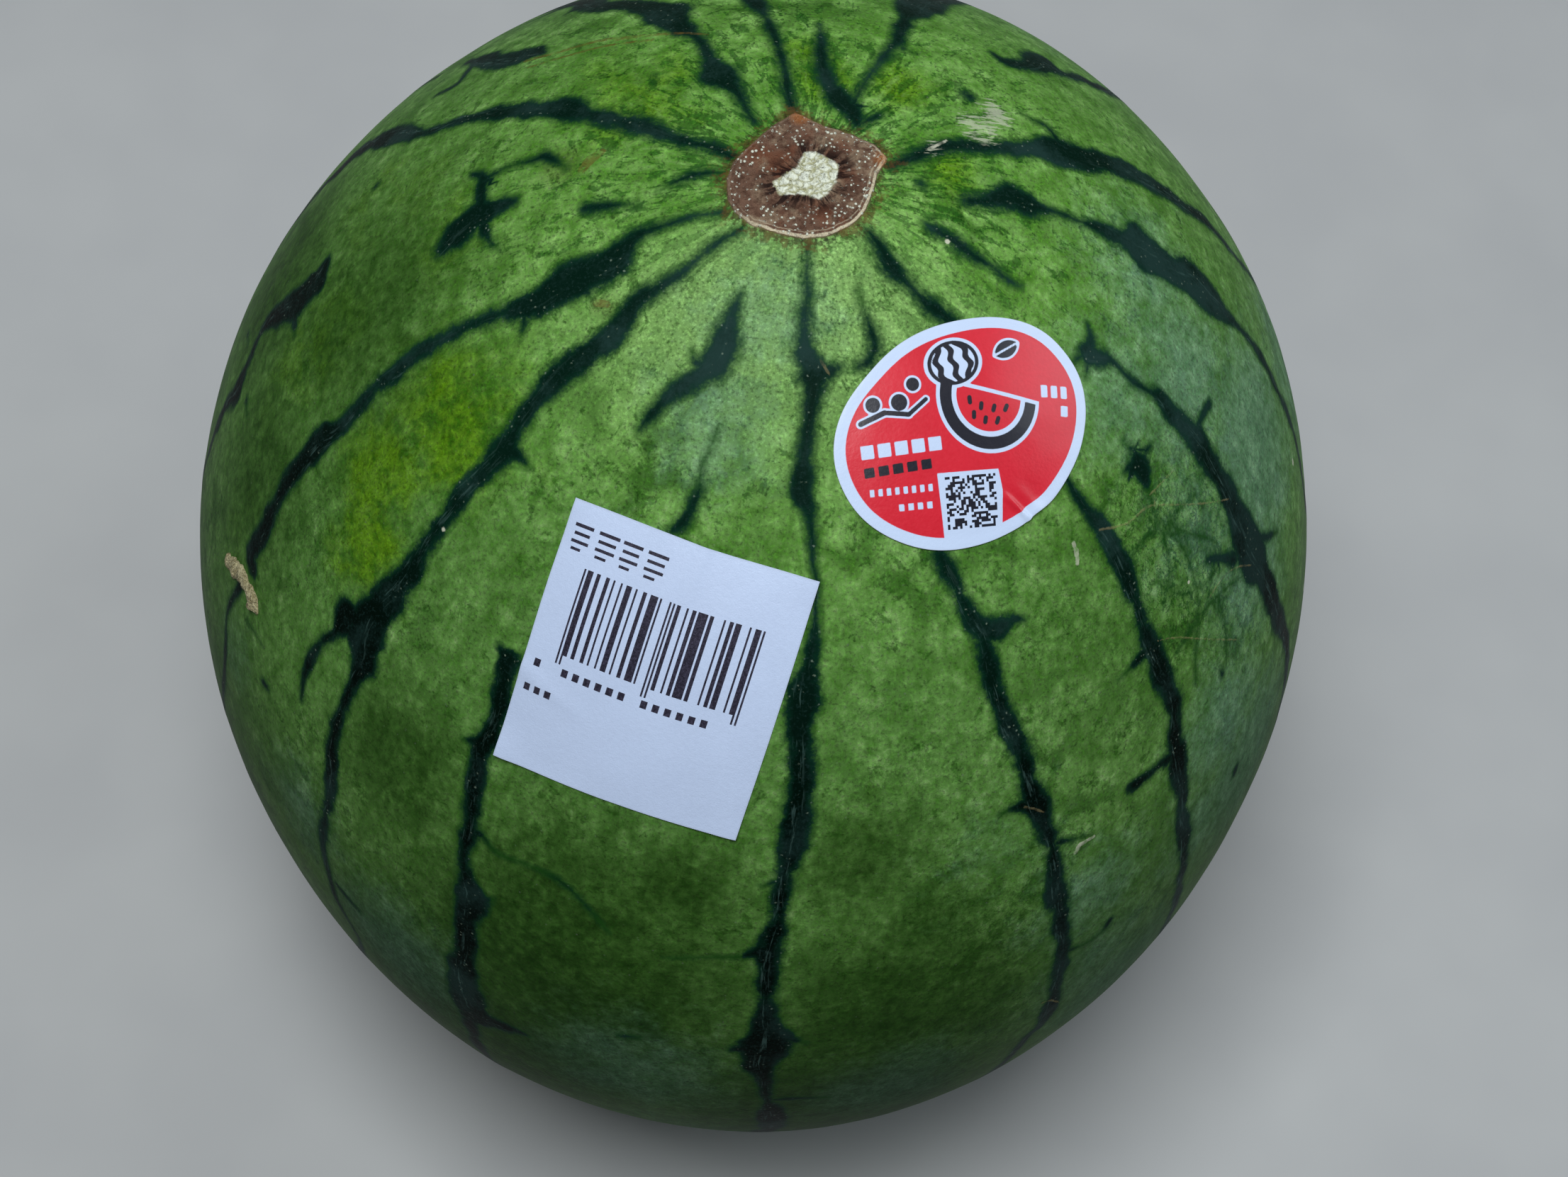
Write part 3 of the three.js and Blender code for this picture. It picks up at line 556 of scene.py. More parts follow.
# zones of the skin: longitude, polar angle, size in mm, strength
DOTS = [(92.7, 61.2, 0.62), (74.4, 11.6, 0.42), (-44.0, 40.6, 0.42), (88.5, 79.0, 0.75), (63.0, 47.5, 0.34), (10.0, 44.0, 0.17)]
YELLOW = [(-80, 47, 20, 0.62), (-95, 40, 18, 0.50), (180, 11, 6, 0.95), (-172, 14, 5, 0.8), (168, 15, 5, 0.5), (-54, 34, 14, 1.0), (-52, 48, 11, 0.95), (-57, 43, 13, 0.9), (16, 53, 8, 0.35), (-121, 17, 14, 0.75), (-3, 61, 12, 0.4), (-86, 30, 12, 0.6), (-78, 50, 10, 0.5),
          (108, 11, 6, 0.8), (152, 13, 6, 0.85), (120, 75, 16, 0.7), (-150, 55, 14, 0.6), (170, 85, 16, 0.6), (-100, 100, 16, 0.6), (45, 115, 15, 0.5), (-30, 125, 18, 0.5), (-70, 66, 12, 0.5)]
# waxy bloom zones, which also paint the sheen below the scar and the bluish reflection along the lower rim
BLOOM_AND_SHEEN = [(70, 44, 16, 0.6), (30, 60, 14, 0.35), (-45, 82, 13, 0.75), (41, 84, 15, 0.8), (57, 76, 14, 0.8), (76, 55, 18, 0.9), (84, 36, 17, 0.9), (66, 62, 14, 0.6), (-8, 12, 11, 0.7), (-12, 21, 10, 0.75), (-20, 33, 8, 0.4),
         (-62, 77, 9, 0.6), (66, 78, 18, 1.15), (45, 92, 16, 1.05), (-30, 88, 16, 1.0), (-5, 88, 16, 0.95), (20, 92, 15, 0.9), (86, 50, 18, 1.15), (62, 66, 15, 0.9), (40, 72, 14, 0.7), (72, 30, 12, 0.8), (95, 30, 14, 0.8), (105, 60, 18, 0.8), (-130, 70, 20, 0.5), (150, 50, 18, 0.6), (0, 105, 18, 0.5), (-80, 110, 20, 0.5), (90, 120, 20, 0.5)]
# darker green patches below the labels; the wide zones round the lower part are painted shade
DEEP_AND_SHADE = [(-3, 61, 11, 1.0), (15, 57, 11, 0.85), (22, 66, 12, 0.8), (-80, 40, 24, 0.8), (-72, 60, 20, 0.9), (-95, 58, 22, 1.0), (-12, 72, 28, 1.15), (20, 76, 22, 1.0), (-20, 95, 28, 1.2), (15, 98, 28, 1.2), (-35, 62, 15, 0.95),
        (50, 106, 22, 0.6), (-60, 100, 22, 0.7), (-120, 95, 26, 0.5), (140, 95, 26, 0.5), (-53, 36, 7, 0.25)]
CRACKLE = [(66, 46, 15, 1.0), (62, 38, 9, 1.0), (70, 56, 12, 0.9), (45, 40, 9, 0.5), (30, 68, 14, 0.5), (-25, 27, 12, 0.4), (-150, 60, 20, 0.6), (110, 95, 20, 0.6), (-60, 55, 12, 0.35)]
DUSK = [(-95, 20, 4, 0.9), (-51, 18.5, 2.5, 0.8), (-47, 88, 14, 0.5), (20, 88, 18, 0.35), (-49, 84, 8, 0.5)]
CHALK = [(125.5, 15.6, 3.2, 1.0), (129.0, 18.4, 3.3, 1.0), (119.5, 10.6, 1.7, 0.85)]


# ------------------------------------------------------------------ node helpers
class Graph:
    def __init__(self, name):
        self.mat = bpy.data.materials.new(name)
        self.mat.use_nodes = True
        self.t = self.mat.node_tree
        self.t.nodes.clear()
        self.out = self.t.nodes.new('ShaderNodeOutputMaterial')
        self.bsdf = self.t.nodes.new('ShaderNodeBsdfPrincipled')
        self.t.links.new(self.bsdf.outputs[0], self.out.inputs[0])
        co = self.t.nodes.new('ShaderNodeTexCoord')
        self.mm = self.vscale(co.outputs['Object'], 1000.0)

    def feed(self, sock, value):
        if isinstance(value, bpy.types.NodeSocket):
            self.t.links.new(value, sock)
        elif value is not None:
            if sock.type == 'RGBA' and len(value) == 3:
                value = (*value, 1.0)
            sock.default_value = value

    def node(self, kind, ins=(), **props):
        nd = self.t.nodes.new(kind)
        for k, v in props.items():
            setattr(nd, k, v)
        for k, v in (ins.items() if isinstance(ins, dict) else enumerate(ins)):
            self.feed(nd.inputs[k], v)
        return nd

    def m(self, op, a, b=None, c=None, clamp=False):
        return self.node('ShaderNodeMath', [x for x in (a, b, c) if x is not None], operation=op, use_clamp=clamp).outputs[0]

    def add(self, a, b): return self.m('ADD', a, b)
    def sub(self, a, b): return self.m('SUBTRACT', a, b)
    def mul(self, a, b): return self.m('MULTIPLY', a, b)
    def maxi(self, a, b): return self.m('MAXIMUM', a, b)
    def mini(self, a, b): return self.m('MINIMUM', a, b)

    def vscale(self, v, s):
        nd = self.node('ShaderNodeVectorMath', operation='SCALE')
        self.feed(nd.inputs[0], v)
        self.feed(nd.inputs['Scale'], s)
        return nd.outputs[0]

    def vadd(self, a, b):
        return self.node('ShaderNodeVectorMath', [a, b], operation='ADD').outputs[0]

    def vec(self, x, y, z=0.0):
        return self.node('ShaderNodeCombineXYZ', [x, y, z]).outputs[0]

    def sep(self, v):
        nd = self.node('ShaderNodeSeparateXYZ', [v])
        return nd.outputs[0], nd.outputs[1], nd.outputs[2]

    def attr(self, name):
        nd = self.node('ShaderNodeAttribute')
        nd.attribute_name = name
        return nd.outputs['Vector']

    def noise(self, v, size, detail=2.0, rough=0.5, distort=0.0, seed=0.0):
        """Noise with features about size across, in v's units, centred on zero and scaled to about -1 to 1."""
        w = self.vadd(v, (seed * 17.3, seed * 5.1, -seed * 9.7)) if seed else v
        nd = self.node('ShaderNodeTexNoise', {'Vector': w, 'Scale': 1.0 / size, 'Detail': detail, 'Roughness': rough, 'Distortion': distort})
        return self.mul(self.sub(nd.outputs['Fac'], 0.5), 3.2)

    def voronoi(self, v, size, feature='F1', out='Distance', rand=1.0):
        nd = self.node('ShaderNodeTexVoronoi', feature=feature)
        self.feed(nd.inputs['Vector'], v)
        nd.inputs['Scale'].default_value = 1.0 / size
        nd.inputs['Randomness'].default_value = rand
        return nd.outputs[out]

    def step(self, x, a, b, lo=0.0, hi=1.0):
        nd = self.node('ShaderNodeMapRange', interpolation_type='SMOOTHSTEP')
        for k, v in zip(('Value', 'From Min', 'From Max', 'To Min', 'To Max'), (x, a, b, lo, hi)):
            self.feed(nd.inputs[k], v)
        return nd.outputs[0]

    def mix(self, f, a, b, mode='MIX'):
        nd = self.node('ShaderNodeMix', data_type='RGBA', blend_type=mode, clamp_factor=True)
        self.feed(nd.inputs[0], f)
        self.feed(nd.inputs[6], a)
        self.feed(nd.inputs[7], b)
        return nd.outputs[2]

    def mixf(self, f, a, b):
        nd = self.node('ShaderNodeMix', data_type='FLOAT', clamp_factor=True)
        self.feed(nd.inputs[0], f)
        self.feed(nd.inputs[2], a)
        self.feed(nd.inputs[3], b)
        return nd.outputs[0]

    def bump(self, height, distance, strength=1.0, under=None):
        nd = self.node('ShaderNodeBump')
        self.feed(nd.inputs['Height'], height)
        nd.inputs['Distance'].default_value = distance
        nd.inputs['Strength'].default_value = strength
        if under is not None:
            self.feed(nd.inputs['Normal'], under)
        return nd.outputs[0]

    def finish(self, colour, rough=None, normal=None):
        self.feed(self.bsdf.inputs['Base Color'], colour)
        if rough is not None:
            self.feed(self.bsdf.inputs['Roughness'], rough)
        if normal is not None:
            self.feed(self.bsdf.inputs['Normal'], normal)
        return self.mat


def rgb(r, g, b):
    return tuple(((c / 255) / 12.92 if c / 255 <= 0.04045 else ((c / 255 + 0.055) / 1.055) ** 2.4) for c in (r, g, b))


# ------------------------------------------------------------------ rind
def rind_material():
    g = Graph('melon_rind')
    P = g.mm
    wx, wy, wa = g.sep(g.attr('wrap'))
    ty, tb, td = g.sep(g.attr('tone'))
    tc, tdusk, tchalk = g.sep(g.attr('tone2'))
    sd, pd, rho = g.sep(g.attr('scar'))
    # shared fields, from coarse to fine
    cloud = g.noise(P, 15, 3, 0.55)
    patch = g.noise(P, 6.0, 3, 0.6, 0.4, seed=2)
    fine = g.noise(P, 1.5, 4, 0.65, 0.3, seed=4)
    grain = g.noise(P, 0.42, 2, 0.6, seed=5)
    warp = g.vec(g.mul(patch, 1.1), g.mul(cloud, 1.0), g.mul(fine, 0.45))
    PW = g.vadd(P, warp)
    lobe = g.voronoi(PW, 4.6)                      # rounded pale lobes: 0 in their middle, high between them
    lobe2 = g.voronoi(g.vadd(PW, (31.0, 7.0, 3.0)), 1.7)
    # flecks drawn out towards the scar, in two widths so that they suit the narrowing rows
    far = g.noise(g.vec(wx, wy, g.mul(wa, 0.38)), 1.9, 3, 0.62, 0.5, seed=3)
    close = g.noise(g.vec(g.mul(wx, 0.22), g.mul(wy, 0.22), g.mul(wa, 0.34)), 1.15, 3, 0.62, 0.5, seed=9)
    fleck = g.mixf(g.step(rho, 26.0, 48.0), close, far)

    # ground colour of the light rind
    t = g.add(g.add(g.mul(cloud, 0.26), g.mul(patch, 0.24)), g.add(g.add(g.mul(fine, 0.62), g.mul(grain, 0.50)), g.mul(fleck, 0.24)))
    t = g.add(t, g.add(g.mul(g.sub(0.48, lobe), g.step(rho, 80.0, 35.0, 0.36, 0.62)), g.mul(g.sub(0.48, lobe2), 0.20)))
    col = g.mix(g.step(t, -0.75, 0.70), RIND['deep_and_shade'], RIND['light'])
    col = g.mix(g.mul(g.step(t, 0.15, 0.95), 0.80), col, RIND['pale'])
    # partly painted light: towards the top the rind is blended with brighter greens, part its own tone and part light
    # from above painted in
    col = g.mix(g.step(wa, 75.0, 22.0, 0.0, 0.36), col, g.mix(g.step(t, -0.6, 0.7), RIND['top_low'], RIND['top']))
    # painted sheen: the front of the rind near the scar is paled where the highlight from the overhead light falls
    front_sheen = g.mul(g.step(rho, 52.0, 20.0), g.step(wy, -20.0, -78.0))
    col = g.mix(g.mul(front_sheen, 0.42), col, RIND['pale'])
    # darker net between the lobes
    net = g.mul(g.step(g.add(lobe, g.mul(grain, 0.05)), 0.50, 0.78), g.step(g.add(g.add(cloud, g.mul(fine, 0.6)), g.mul(tc, 1.4)), -0.3, 0.9))
    col = g.mix(g.mul(net, 0.66), col, RIND['vein'])
    net2 = g.mul(g.step(lobe2, 0.52, 0.80), g.step(g.add(g.add(patch, g.mul(grain, 0.5)), g.mul(tc, 0.8)), -0.3, 0.8))
    col = g.mix(g.mul(net2, g.step(rho, 35.0, 80.0, 0.12, 0.34)), col, RIND['vein'])
    # thin wandering cracks of darker green, dense in the crackled zones
    wander = g.m('ABSOLUTE', g.noise(PW, 3.4, 4, 0.62, 0.3, seed=12))
    wander2 = g.m('ABSOLUTE', g.noise(PW, 1.6, 3, 0.62, 0.3, seed=13))
    zone = g.mul(g.step(g.add(g.add(g.mul(patch, 0.7), g.mul(cloud, 0.4)), g.mul(tc, 1.3)), -0.25, 0.9), g.step(rho, 40.0, 72.0, 0.0, 1.0))
    crack = g.maxi(g.mul(g.step(wander, g.mixf(tc, 0.080, 0.115), 0.02), zone), g.mul(g.step(wander2, 0.11, 0.015), g.mul(zone, 0.75)))
    col = g.mix(g.mul(crack, g.mixf(tc, 0.50, 0.92)), col, g.mix(tc, RIND['vein'], RIND['crack']))
    # clots of darker green, in groups
    clot = g.noise(P, 2.6, 4, 0.68, 0.6, seed=6)
    col = g.mix(g.mul(g.step(g.add(clot, g.add(g.mul(cloud, 0.35), g.mul(grain, 0.15))), g.step(rho, 80.0, 35.0, 0.24, 0.18), g.step(rho, 80.0, 35.0, 0.64, 0.56)), 0.62), col, RIND['vein'])
    # yellow-green zones, darker green zones that are partly painted shade round the lower part, and bloomed zones that
    # are partly painted sheen and reflection
    yel = g.step(g.add(g.add(ty, g.mul(patch, 0.24)), g.mul(cloud, 0.12)), 0.28, 0.95)
    col = g.mix(g.mul(yel, 0.80), col, g.mix(g.step(g.add(g.add(fine, g.mul(grain, 0.4)), g.mul(patch, 0.9)), -0.6, 0.6), RIND['yellow_low'], RIND['yellow']))
    # darker green zones, painted shade where they ring the lower part
    deep_and_shade = g.step(g.add(g.add(td, g.mul(patch, 0.16)), g.mul(cloud, 0.16)), 0.10, 1.0)
    col = g.mix(g.mul(deep_and_shade, 0.84), col, g.mix(g.step(t, -0.7, 0.9), RIND['deeper_and_shade'], RIND['deep_and_shade']))
    # waxy bloom with painted sheen and reflection: paler bluish greens
    bloom_and_sheen = g.step(g.add(g.add(tb, g.mul(patch, 0.22)), g.mul(fine, 0.20)), 0.15, 1.05)
    col = g.mix(g.mul(bloom_and_sheen, 0.58), col, g.mix(g.step(t, -0.7, 0.9), RIND['bloom_and_sheen_low'], RIND['bloom_and_sheen']))
    dusk = g.step(g.add(tdusk, g.mul(fine, 0.30)), 0.30, 0.85)
    col = g.mix(g.mul(dusk, 0.40), col, RIND['dull'])
    # darker flecks close round the scar
    ray = g.mul(g.step(g.add(fleck, g.add(g.mul(grain, 0.18), g.mul(patch, 0.30))), g.step(rho, 12.0, 50.0, -0.06, 0.16), g.step(rho, 12.0, 50.0, 0.26, 0.52)), g.mul(g.step(rho, 72.0, 30.0), g.step(wy, -80.0, 0.0, 0.38, 1.0)))
    col = g.mix(g.mul(ray, 0.74), col, RIND['ray'])
    col = g.mix(g.mul(g.step(g.mul(fleck, -1.0), 0.10, 0.7), g.step(rho, 50.0, 16.0, 0.0, 0.22)), col, RIND['pale'])
    # pin-prick pores
    pore = g.mul(g.step(g.voronoi(P, 1.25), 0.15, 0.08), g.step(grain, -0.1, 0.8))
    col = g.mix(g.mul(pore, 0.35), col, RIND['speck'])

    # painted shade: darker towards the bottom, with a fine grain over all
    col = g.mix(g.step(wa, 92.0, 140.0, 0.0, 0.55), col, RIND['deeper_and_shade'])
    col = g.vscale(col, g.mul(g.step(grain, 0.05, 0.62, 1.0, 0.52), g.step(grain, -0.05, -0.62, 1.0, 1.62)))

    # stripes
    a1, a2, kind = g.sep(g.attr('along'))

    def stripe(name, seed):
        s, e, r = g.sep(g.attr(name))
        d = g.m('SQRT', g.add(g.mul(s, s), g.mul(e, e)))
        amp = g.mul(g.step(r, 0.1, 1.7, 0.16, 1.0), g.step(rho, 12.0, 40.0, 0.60, 1.0))
        lump = g.noise(P, 5.5, 2, 0.5, seed=seed)
        push = g.add(g.mul(g.sub(lobe, 0.56), 1.5), g.mul(g.sub(lobe2, 0.54), 0.34))
        push = g.add(push, g.add(g.mul(lump, 0.20), g.add(g.mul(fine, 0.16), g.mul(grain, 0.12))))
        return g.add(g.sub(r, d), g.mul(push, amp)), s, g.step(r, 0.62, 0.34)

    e1, s1, thin1 = stripe('stripe1', 11)
    e2, s2, thin2 = stripe('stripe2', 15)
    thin = g.mul(thin2, g.step(g.sub(e2, e1), -0.2, 0.4))
    e2 = g.sub(e2, g.mul(thin2, g.sub(g.mul(g.step(g.add(patch, g.mul(fine, 0.8)), -0.30, 0.40), 0.10), 0.06)))
    speck = g.noise(P, 0.7, 3, 0.65, seed=21)
    soft = g.step(rho, 62.0, 18.0)
    edge = g.add(g.maxi(e1, e2), g.mul(soft, g.add(g.mul(fleck, 0.30), g.mul(speck, 0.18))))
    halo = g.step(g.add(edge, g.mul(speck, 0.34)), g.mixf(soft, -0.95, -1.5), 0.15)
    inside = g.step(g.add(edge, g.mul(grain, 0.12)), g.mixf(soft, -0.15, -0.40), g.mixf(soft, 0.50, 0.75))
    col = g.mix(g.mul(halo, g.mixf(thin, 0.66, 0.50)), col, RIND['halo'])
    # body of a stripe: green-black with greyer lengths, pale dashes along its middle and pale pin-pricks
    # the greyer lengths follow the bloomed zones, so they carry painted sheen as well
    grey = g.step(g.add(g.noise(P, 9, 2, 0.5, seed=23), g.add(g.mul(speck, 0.30), g.mul(tb, 0.8))), -0.10, 0.85)
    # painted shade: the stripes turn blacker and less grey lower down
    low = g.step(wa, 50.0, 92.0)
    body = g.mix(low, RIND['ink'], RIND['black'])
    body = g.mix(g.mul(grey, g.mixf(low, 0.85, 0.60)), body, RIND['blue'])
    body = g.mix(g.step(g.add(edge, g.mul(fine, 0.3)), 1.3, 0.1, 0.0, 0.65), body, RIND['teal'])
    streak = g.noise(g.vec(g.mul(a1, 0.30), g.mul(s1, 2.4), 4.0), 1.0, 3, 0.6, seed=22)
    mid = g.mul(g.step(g.m('ABSOLUTE', g.add(s1, g.mul(lobe, 0.8))), 1.3, 0.2), g.step(wa, 34.0, 66.0, 0.15, 1.0))
    body = g.mix(g.mul(g.mul(g.step(streak, 0.12, 0.62), mid), 0.46), body, RIND['streak'])
    dots = g.mul(g.step(g.voronoi(g.vadd(P, g.vec(g.mul(fine, 0.3), 0.0, 0.0)), 0.85), 0.26, 0.08), g.step(g.add(patch, grain), 0.0, 0.7))
    body = g.mix(g.mul(dots, 0.45), body, RIND['speck'])
    body = g.mix(g.step(grain, 0.05, 0.6, 0.0, 0.34), body, RIND['blue'])
    body = g.mix(g.mul(thin, 0.90), body, RIND['crack'])
    col = g.mix(g.mul(inside, g.mixf(thin, 1.0, 0.80)), col, body)

    # pale scratches and healed ticks
    ms, me_, mr = g.sep(g.attr('marks'))
    md = g.m('SQRT', g.add(g.mul(ms, ms), g.mul(me_, me_)))
    mk = g.step(g.add(g.sub(mr, md), g.mul(g.noise(P, 0.5, 3, 0.6, seed=31), 0.12)), -0.09, 0.05)
    mk = g.mul(mk, g.step(g.noise(P, 1.3, 2, 0.5, seed=32), -0.8, 0.5, 0.0, 1.0))
    brownish = g.step(kind, 1.3, 1.7)
    col = g.mix(g.mul(mk, g.mixf(brownish, g.mixf(kind, 0.75, 0.34), 0.62)), col, g.mix(brownish, g.mix(kind, RIND['mark'], RIND['tan']), RIND['brown']))
    for lo, po, size in DOTS:
        q = skin(direction(lo, po)) + CENTRE - np.array([0, 0, FOOT_Z])
        dist = g.node('ShaderNodeVectorMath', [P, tuple(float(v) for v in q)], operation='DISTANCE').outputs['Value']
        col = g.mix(g.step(g.add(dist, g.mul(grain, 0.12)), size, size * 0.55, 0.0, 0.85), col, RIND['mark'])
    # chalky scuff: many short parallel scratches
    px, py, pz = g.sep(P)
    ca = g.add(g.mul(px, 0.95), g.mul(py, 0.31))
    cb = g.sub(g.mul(py, 0.95), g.mul(px, 0.31))
    scuff = g.noise(g.vec(g.mul(ca, 0.28), g.mul(cb, 2.0), g.mul(pz, 0.3)), 0.85, 4, 0.7, seed=33)
    chalk = g.step(g.add(g.mul(scuff, 1.3), g.mul(g.sub(tchalk, 0.58), 1.6)), 0.06, 0.50)
    col = g.mix(g.mul(chalk, 0.62), col, RIND['chalk'])

    # scar at the top
    cr1 = g.noise(P, 1.9, 4, 0.65, 0.3, seed=41)
    cr2 = g.noise(P, 0.6, 3, 0.6, seed=42)
    radial = g.noise(g.vec(g.mul(wx, 0.085), g.mul(wy, 0.085), g.mul(rho, 0.30)), 1.0, 3, 0.6, seed=43)
    scar_in = g.step(g.add(sd, g.add(g.mul(cr1, 0.14), g.mul(cr2, 0.10))), 0.16, -0.14)
    near = g.step(rho, 26.0, 22.0)
    brown = g.mix(g.step(g.add(g.mul(cr1, 0.8), g.mul(cr2, 0.55)), -1.0, 0.9), RIND['bark_dark'], RIND['bark'])
    brown = g.mix(g.mul(g.step(g.add(g.noise(P, 3.6, 2, 0.5, seed=46), g.mul(cr2, 0.3)), 0.0, 0.7), 0.65), brown, RIND['bark_pale'])
    brown = g.mix(g.mul(g.step(g.add(g.noise(P, 4.4, 2, 0.5, seed=48), g.mul(cr1, 0.4)), 0.05, 0.6), 0.6), brown, RIND['bark_red'])
    blot = g.mul(g.step(pd, 3.4, 0.6), g.step(g.add(radial, g.mul(cr1, 0.6)), -0.25, 0.30))
    brown = g.mix(g.mul(blot, 0.90), brown, RIND['bark_black'])
    front = g.step(g.add(g.mul(wy, -1.0), g.mul(wx, 0.9)), -30.0, 50.0, 0.10, 1.0)
    line = g.step(g.m('ABSOLUTE', g.add(g.add(sd, 0.26), g.mul(cr1, 0.12))), 0.24, 0.10)
    line2 = g.mul(g.step(g.m('ABSOLUTE', g.add(g.add(sd, 0.85), g.mul(cr1, 0.22))), 0.14, 0.04), 0.40)
    rimm = g.mul(g.mul(g.maxi(line, line2), front), g.step(g.add(cr1, g.mul(cr2, 0.4)), -0.9, 0.0))
    brown = g.mix(g.mul(rimm, 0.85), brown, RIND['papery'])
    sp = g.voronoi(P, 0.62)
    specks = g.mul(g.step(sp, 0.36, 0.24), g.step(g.add(g.mul(cr2, 0.9), g.mul(g.noise(P, 2.6, 2, 0.5, seed=47), 0.6)), -0.25, 0.15))
    brown = g.mix(g.mul(g.mul(specks, g.step(pd, 0.8, 2.0)), 0.85), brown, RIND['crumb'])
    for cx, cy in TIPS:
        dx, dy = g.sub(px, cx), g.sub(py, cy)
        tip = g.step(g.m('SQRT', g.add(g.mul(dx, dx), g.mul(dy, dy))), 1.9, 0.5)
        brown = g.mix(g.mul(tip, 0.6), brown, RIND['orange'])
    pm = g.step(g.add(pd, g.add(g.mul(cr1, 0.30), g.mul(cr2, 0.22))), 0.22, -0.20)
    crackle = g.voronoi(g.vadd(P, g.vec(g.mul(cr2, 0.5), g.mul(cr1, 0.5), 0.0)), 1.25, 'DISTANCE_TO_EDGE')
    crumb = g.mix(g.step(g.add(g.mul(cr2, 0.6), g.mul(crackle, 4.0)), -0.25, 0.9), RIND['crumb_dark'], RIND['crumb'])
    brown = g.mix(pm, brown, crumb)
    # brown dust on the skin round the scar
    dust = g.mul(g.step(sd, 4.2, 0.0), g.step(g.add(cr2, g.add(g.mul(cr1, 0.5), g.mul(g.step(sd, 2.6, 0.0), 0.65))), 0.15, 0.65))
    col = g.mix(g.mul(g.mul(dust, near), 0.75), col, g.mix(g.step(cr1, -0.5, 0.5), RIND['bark_black'], RIND['dust']))
    col = g.mix(g.mul(scar_in, near), col, brown)

    scar_on = g.mul(scar_in, near)
    rough = g.add(g.add(0.42, g.mul(bloom_and_sheen, 0.10)), g.mul(fine, 0.03))
    rough = g.mixf(scar_on, rough, 0.85)
    rough = g.mixf(mk, rough, 0.7)
    rough = g.mixf(chalk, rough, 0.8)
    # relief too fine for the mesh
    height = g.add(g.mul(fine, 0.9), g.mul(grain, 0.35))
    height = g.add(height, g.add(g.mul(inside, 0.45), g.mul(mk, 1.4)))
    height = g.sub(height, g.mul(lobe, 0.9))
    nrm = g.bump(height, 0.00003, 1.0)
    nrm = g.bump(g.mul(scar_on, g.add(g.mul(cr2, 1.0), g.add(g.mul(specks, 0.5), g.mul(g.mul(pm, crackle), 2.5)))), 0.00022, 1.0, nrm)
    g.bsdf.inputs['Specular IOR Level'].default_value = 0.01
    return g.finish(col, rough, nrm)


RIND = {
    'deeper_and_shade': rgb(18, 44, 10), 'deep_and_shade': rgb(60, 101, 36), 'light': rgb(110, 154, 80), 'pale': rgb(156, 192, 122), 'top': rgb(144, 194, 96), 'yellow_low': rgb(42, 84, 2), 'yellow': rgb(92, 134, 6),
    'bloom_and_sheen': rgb(128, 164, 142), 'bloom_and_sheen_low': rgb(74, 109, 88), 'crack': rgb(28, 72, 18), 'top_low': rgb(84, 138, 38), 'dull': rgb(66, 74, 30), 'vein': rgb(34, 76, 18), 'ray': rgb(30, 78, 22), 'halo': rgb(20, 62, 26),
    'black': rgb(2, 12, 7), 'ink': rgb(7, 30, 21), 'blue': rgb(34, 58, 54), 'teal': rgb(14, 52, 36), 'streak': rgb(76, 104, 98), 'speck': rgb(160, 178, 156), 'mark': rgb(204, 204, 182),
    'tan': rgb(160, 146, 104), 'brown': rgb(100, 82, 40), 'chalk': rgb(190, 194, 170),
    'bark': rgb(122, 94, 78), 'bark_dark': rgb(74, 52, 42), 'bark_black': rgb(30, 22, 22), 'bark_pale': rgb(158, 138, 114), 'bark_red': rgb(112, 66, 46), 'papery': rgb(224, 212, 182), 'crumb': rgb(232, 236, 218),
    'crumb_dark': rgb(170, 168, 126), 'orange': rgb(170, 104, 52), 'dust': rgb(96, 70, 40),
}
_tip = [skin(direction(-168, 5.9)), skin(direction(116, 6.2))]
TIPS = [tuple((t + CENTRE)[:2]) for t in _tip]


# ------------------------------------------------------------------ labels
def skin_height(u):
    return undulate(u)


def slerp(a, b, t):
    w = np.arccos(np.clip((a * b).sum(-1, keepdims=True), -1, 1))
    s = np.maximum(np.sin(w), 1e-9)
    return unit(np.where(w < 1e-9, a, (np.sin((1 - t) * w) * a + np.sin(t * w) * b) / s))


def edge_through(a, k, b, t, soft=0.10):
    """Great-circle edge from a through the kink k to b, the kink a little rounded."""
    at = float(np.linalg.norm(k - a) / (np.linalg.norm(k - a) + np.linalg.norm(b - k)))

    def raw(x):
        x = x[..., None]
        first = slerp(a, k, np.clip(x / at, 0, 1))
        second = slerp(k, b, np.clip((x - at) / (1 - at), 0, 1))
        return np.where(x < at, first, second)
    out = 0
    for o in (-1, -0.5, 0, 0.5, 1):
        s = soft * np.minimum(1, np.minimum(t, 1 - t) / soft)
        out = out + raw(t + o * s)
    return unit(out)


PRICE = [(-29.51, 30.78), (-6.78, 30.28), (9.85, 31.74), (1.94, 54.22), (-24.86, 54.14), (-25.97, 44.91)]


def price_dirs(u, v):
    """Directions at label coordinates u (left to right) and v (top to bottom), 0 to 1."""
    tl, tk, tr, br, bl, lk = [direction(*p) for p in PRICE]
    top = edge_through(tl, tk, tr, u)
    bottom = slerp(bl, br, u[..., None])
    left = edge_through(tl, lk, bl, v)
    right = slerp(tr, br, v[..., None])
    U, V = u[..., None], v[..., None]
    p = (1 - V) * top + V * bottom + (1 - U) * left + U * right
    p = p - ((1 - U) * (1 - V) * tl + U * (1 - V) * tr + (1 - U) * V * bl + U * V * br)
    return unit(p)


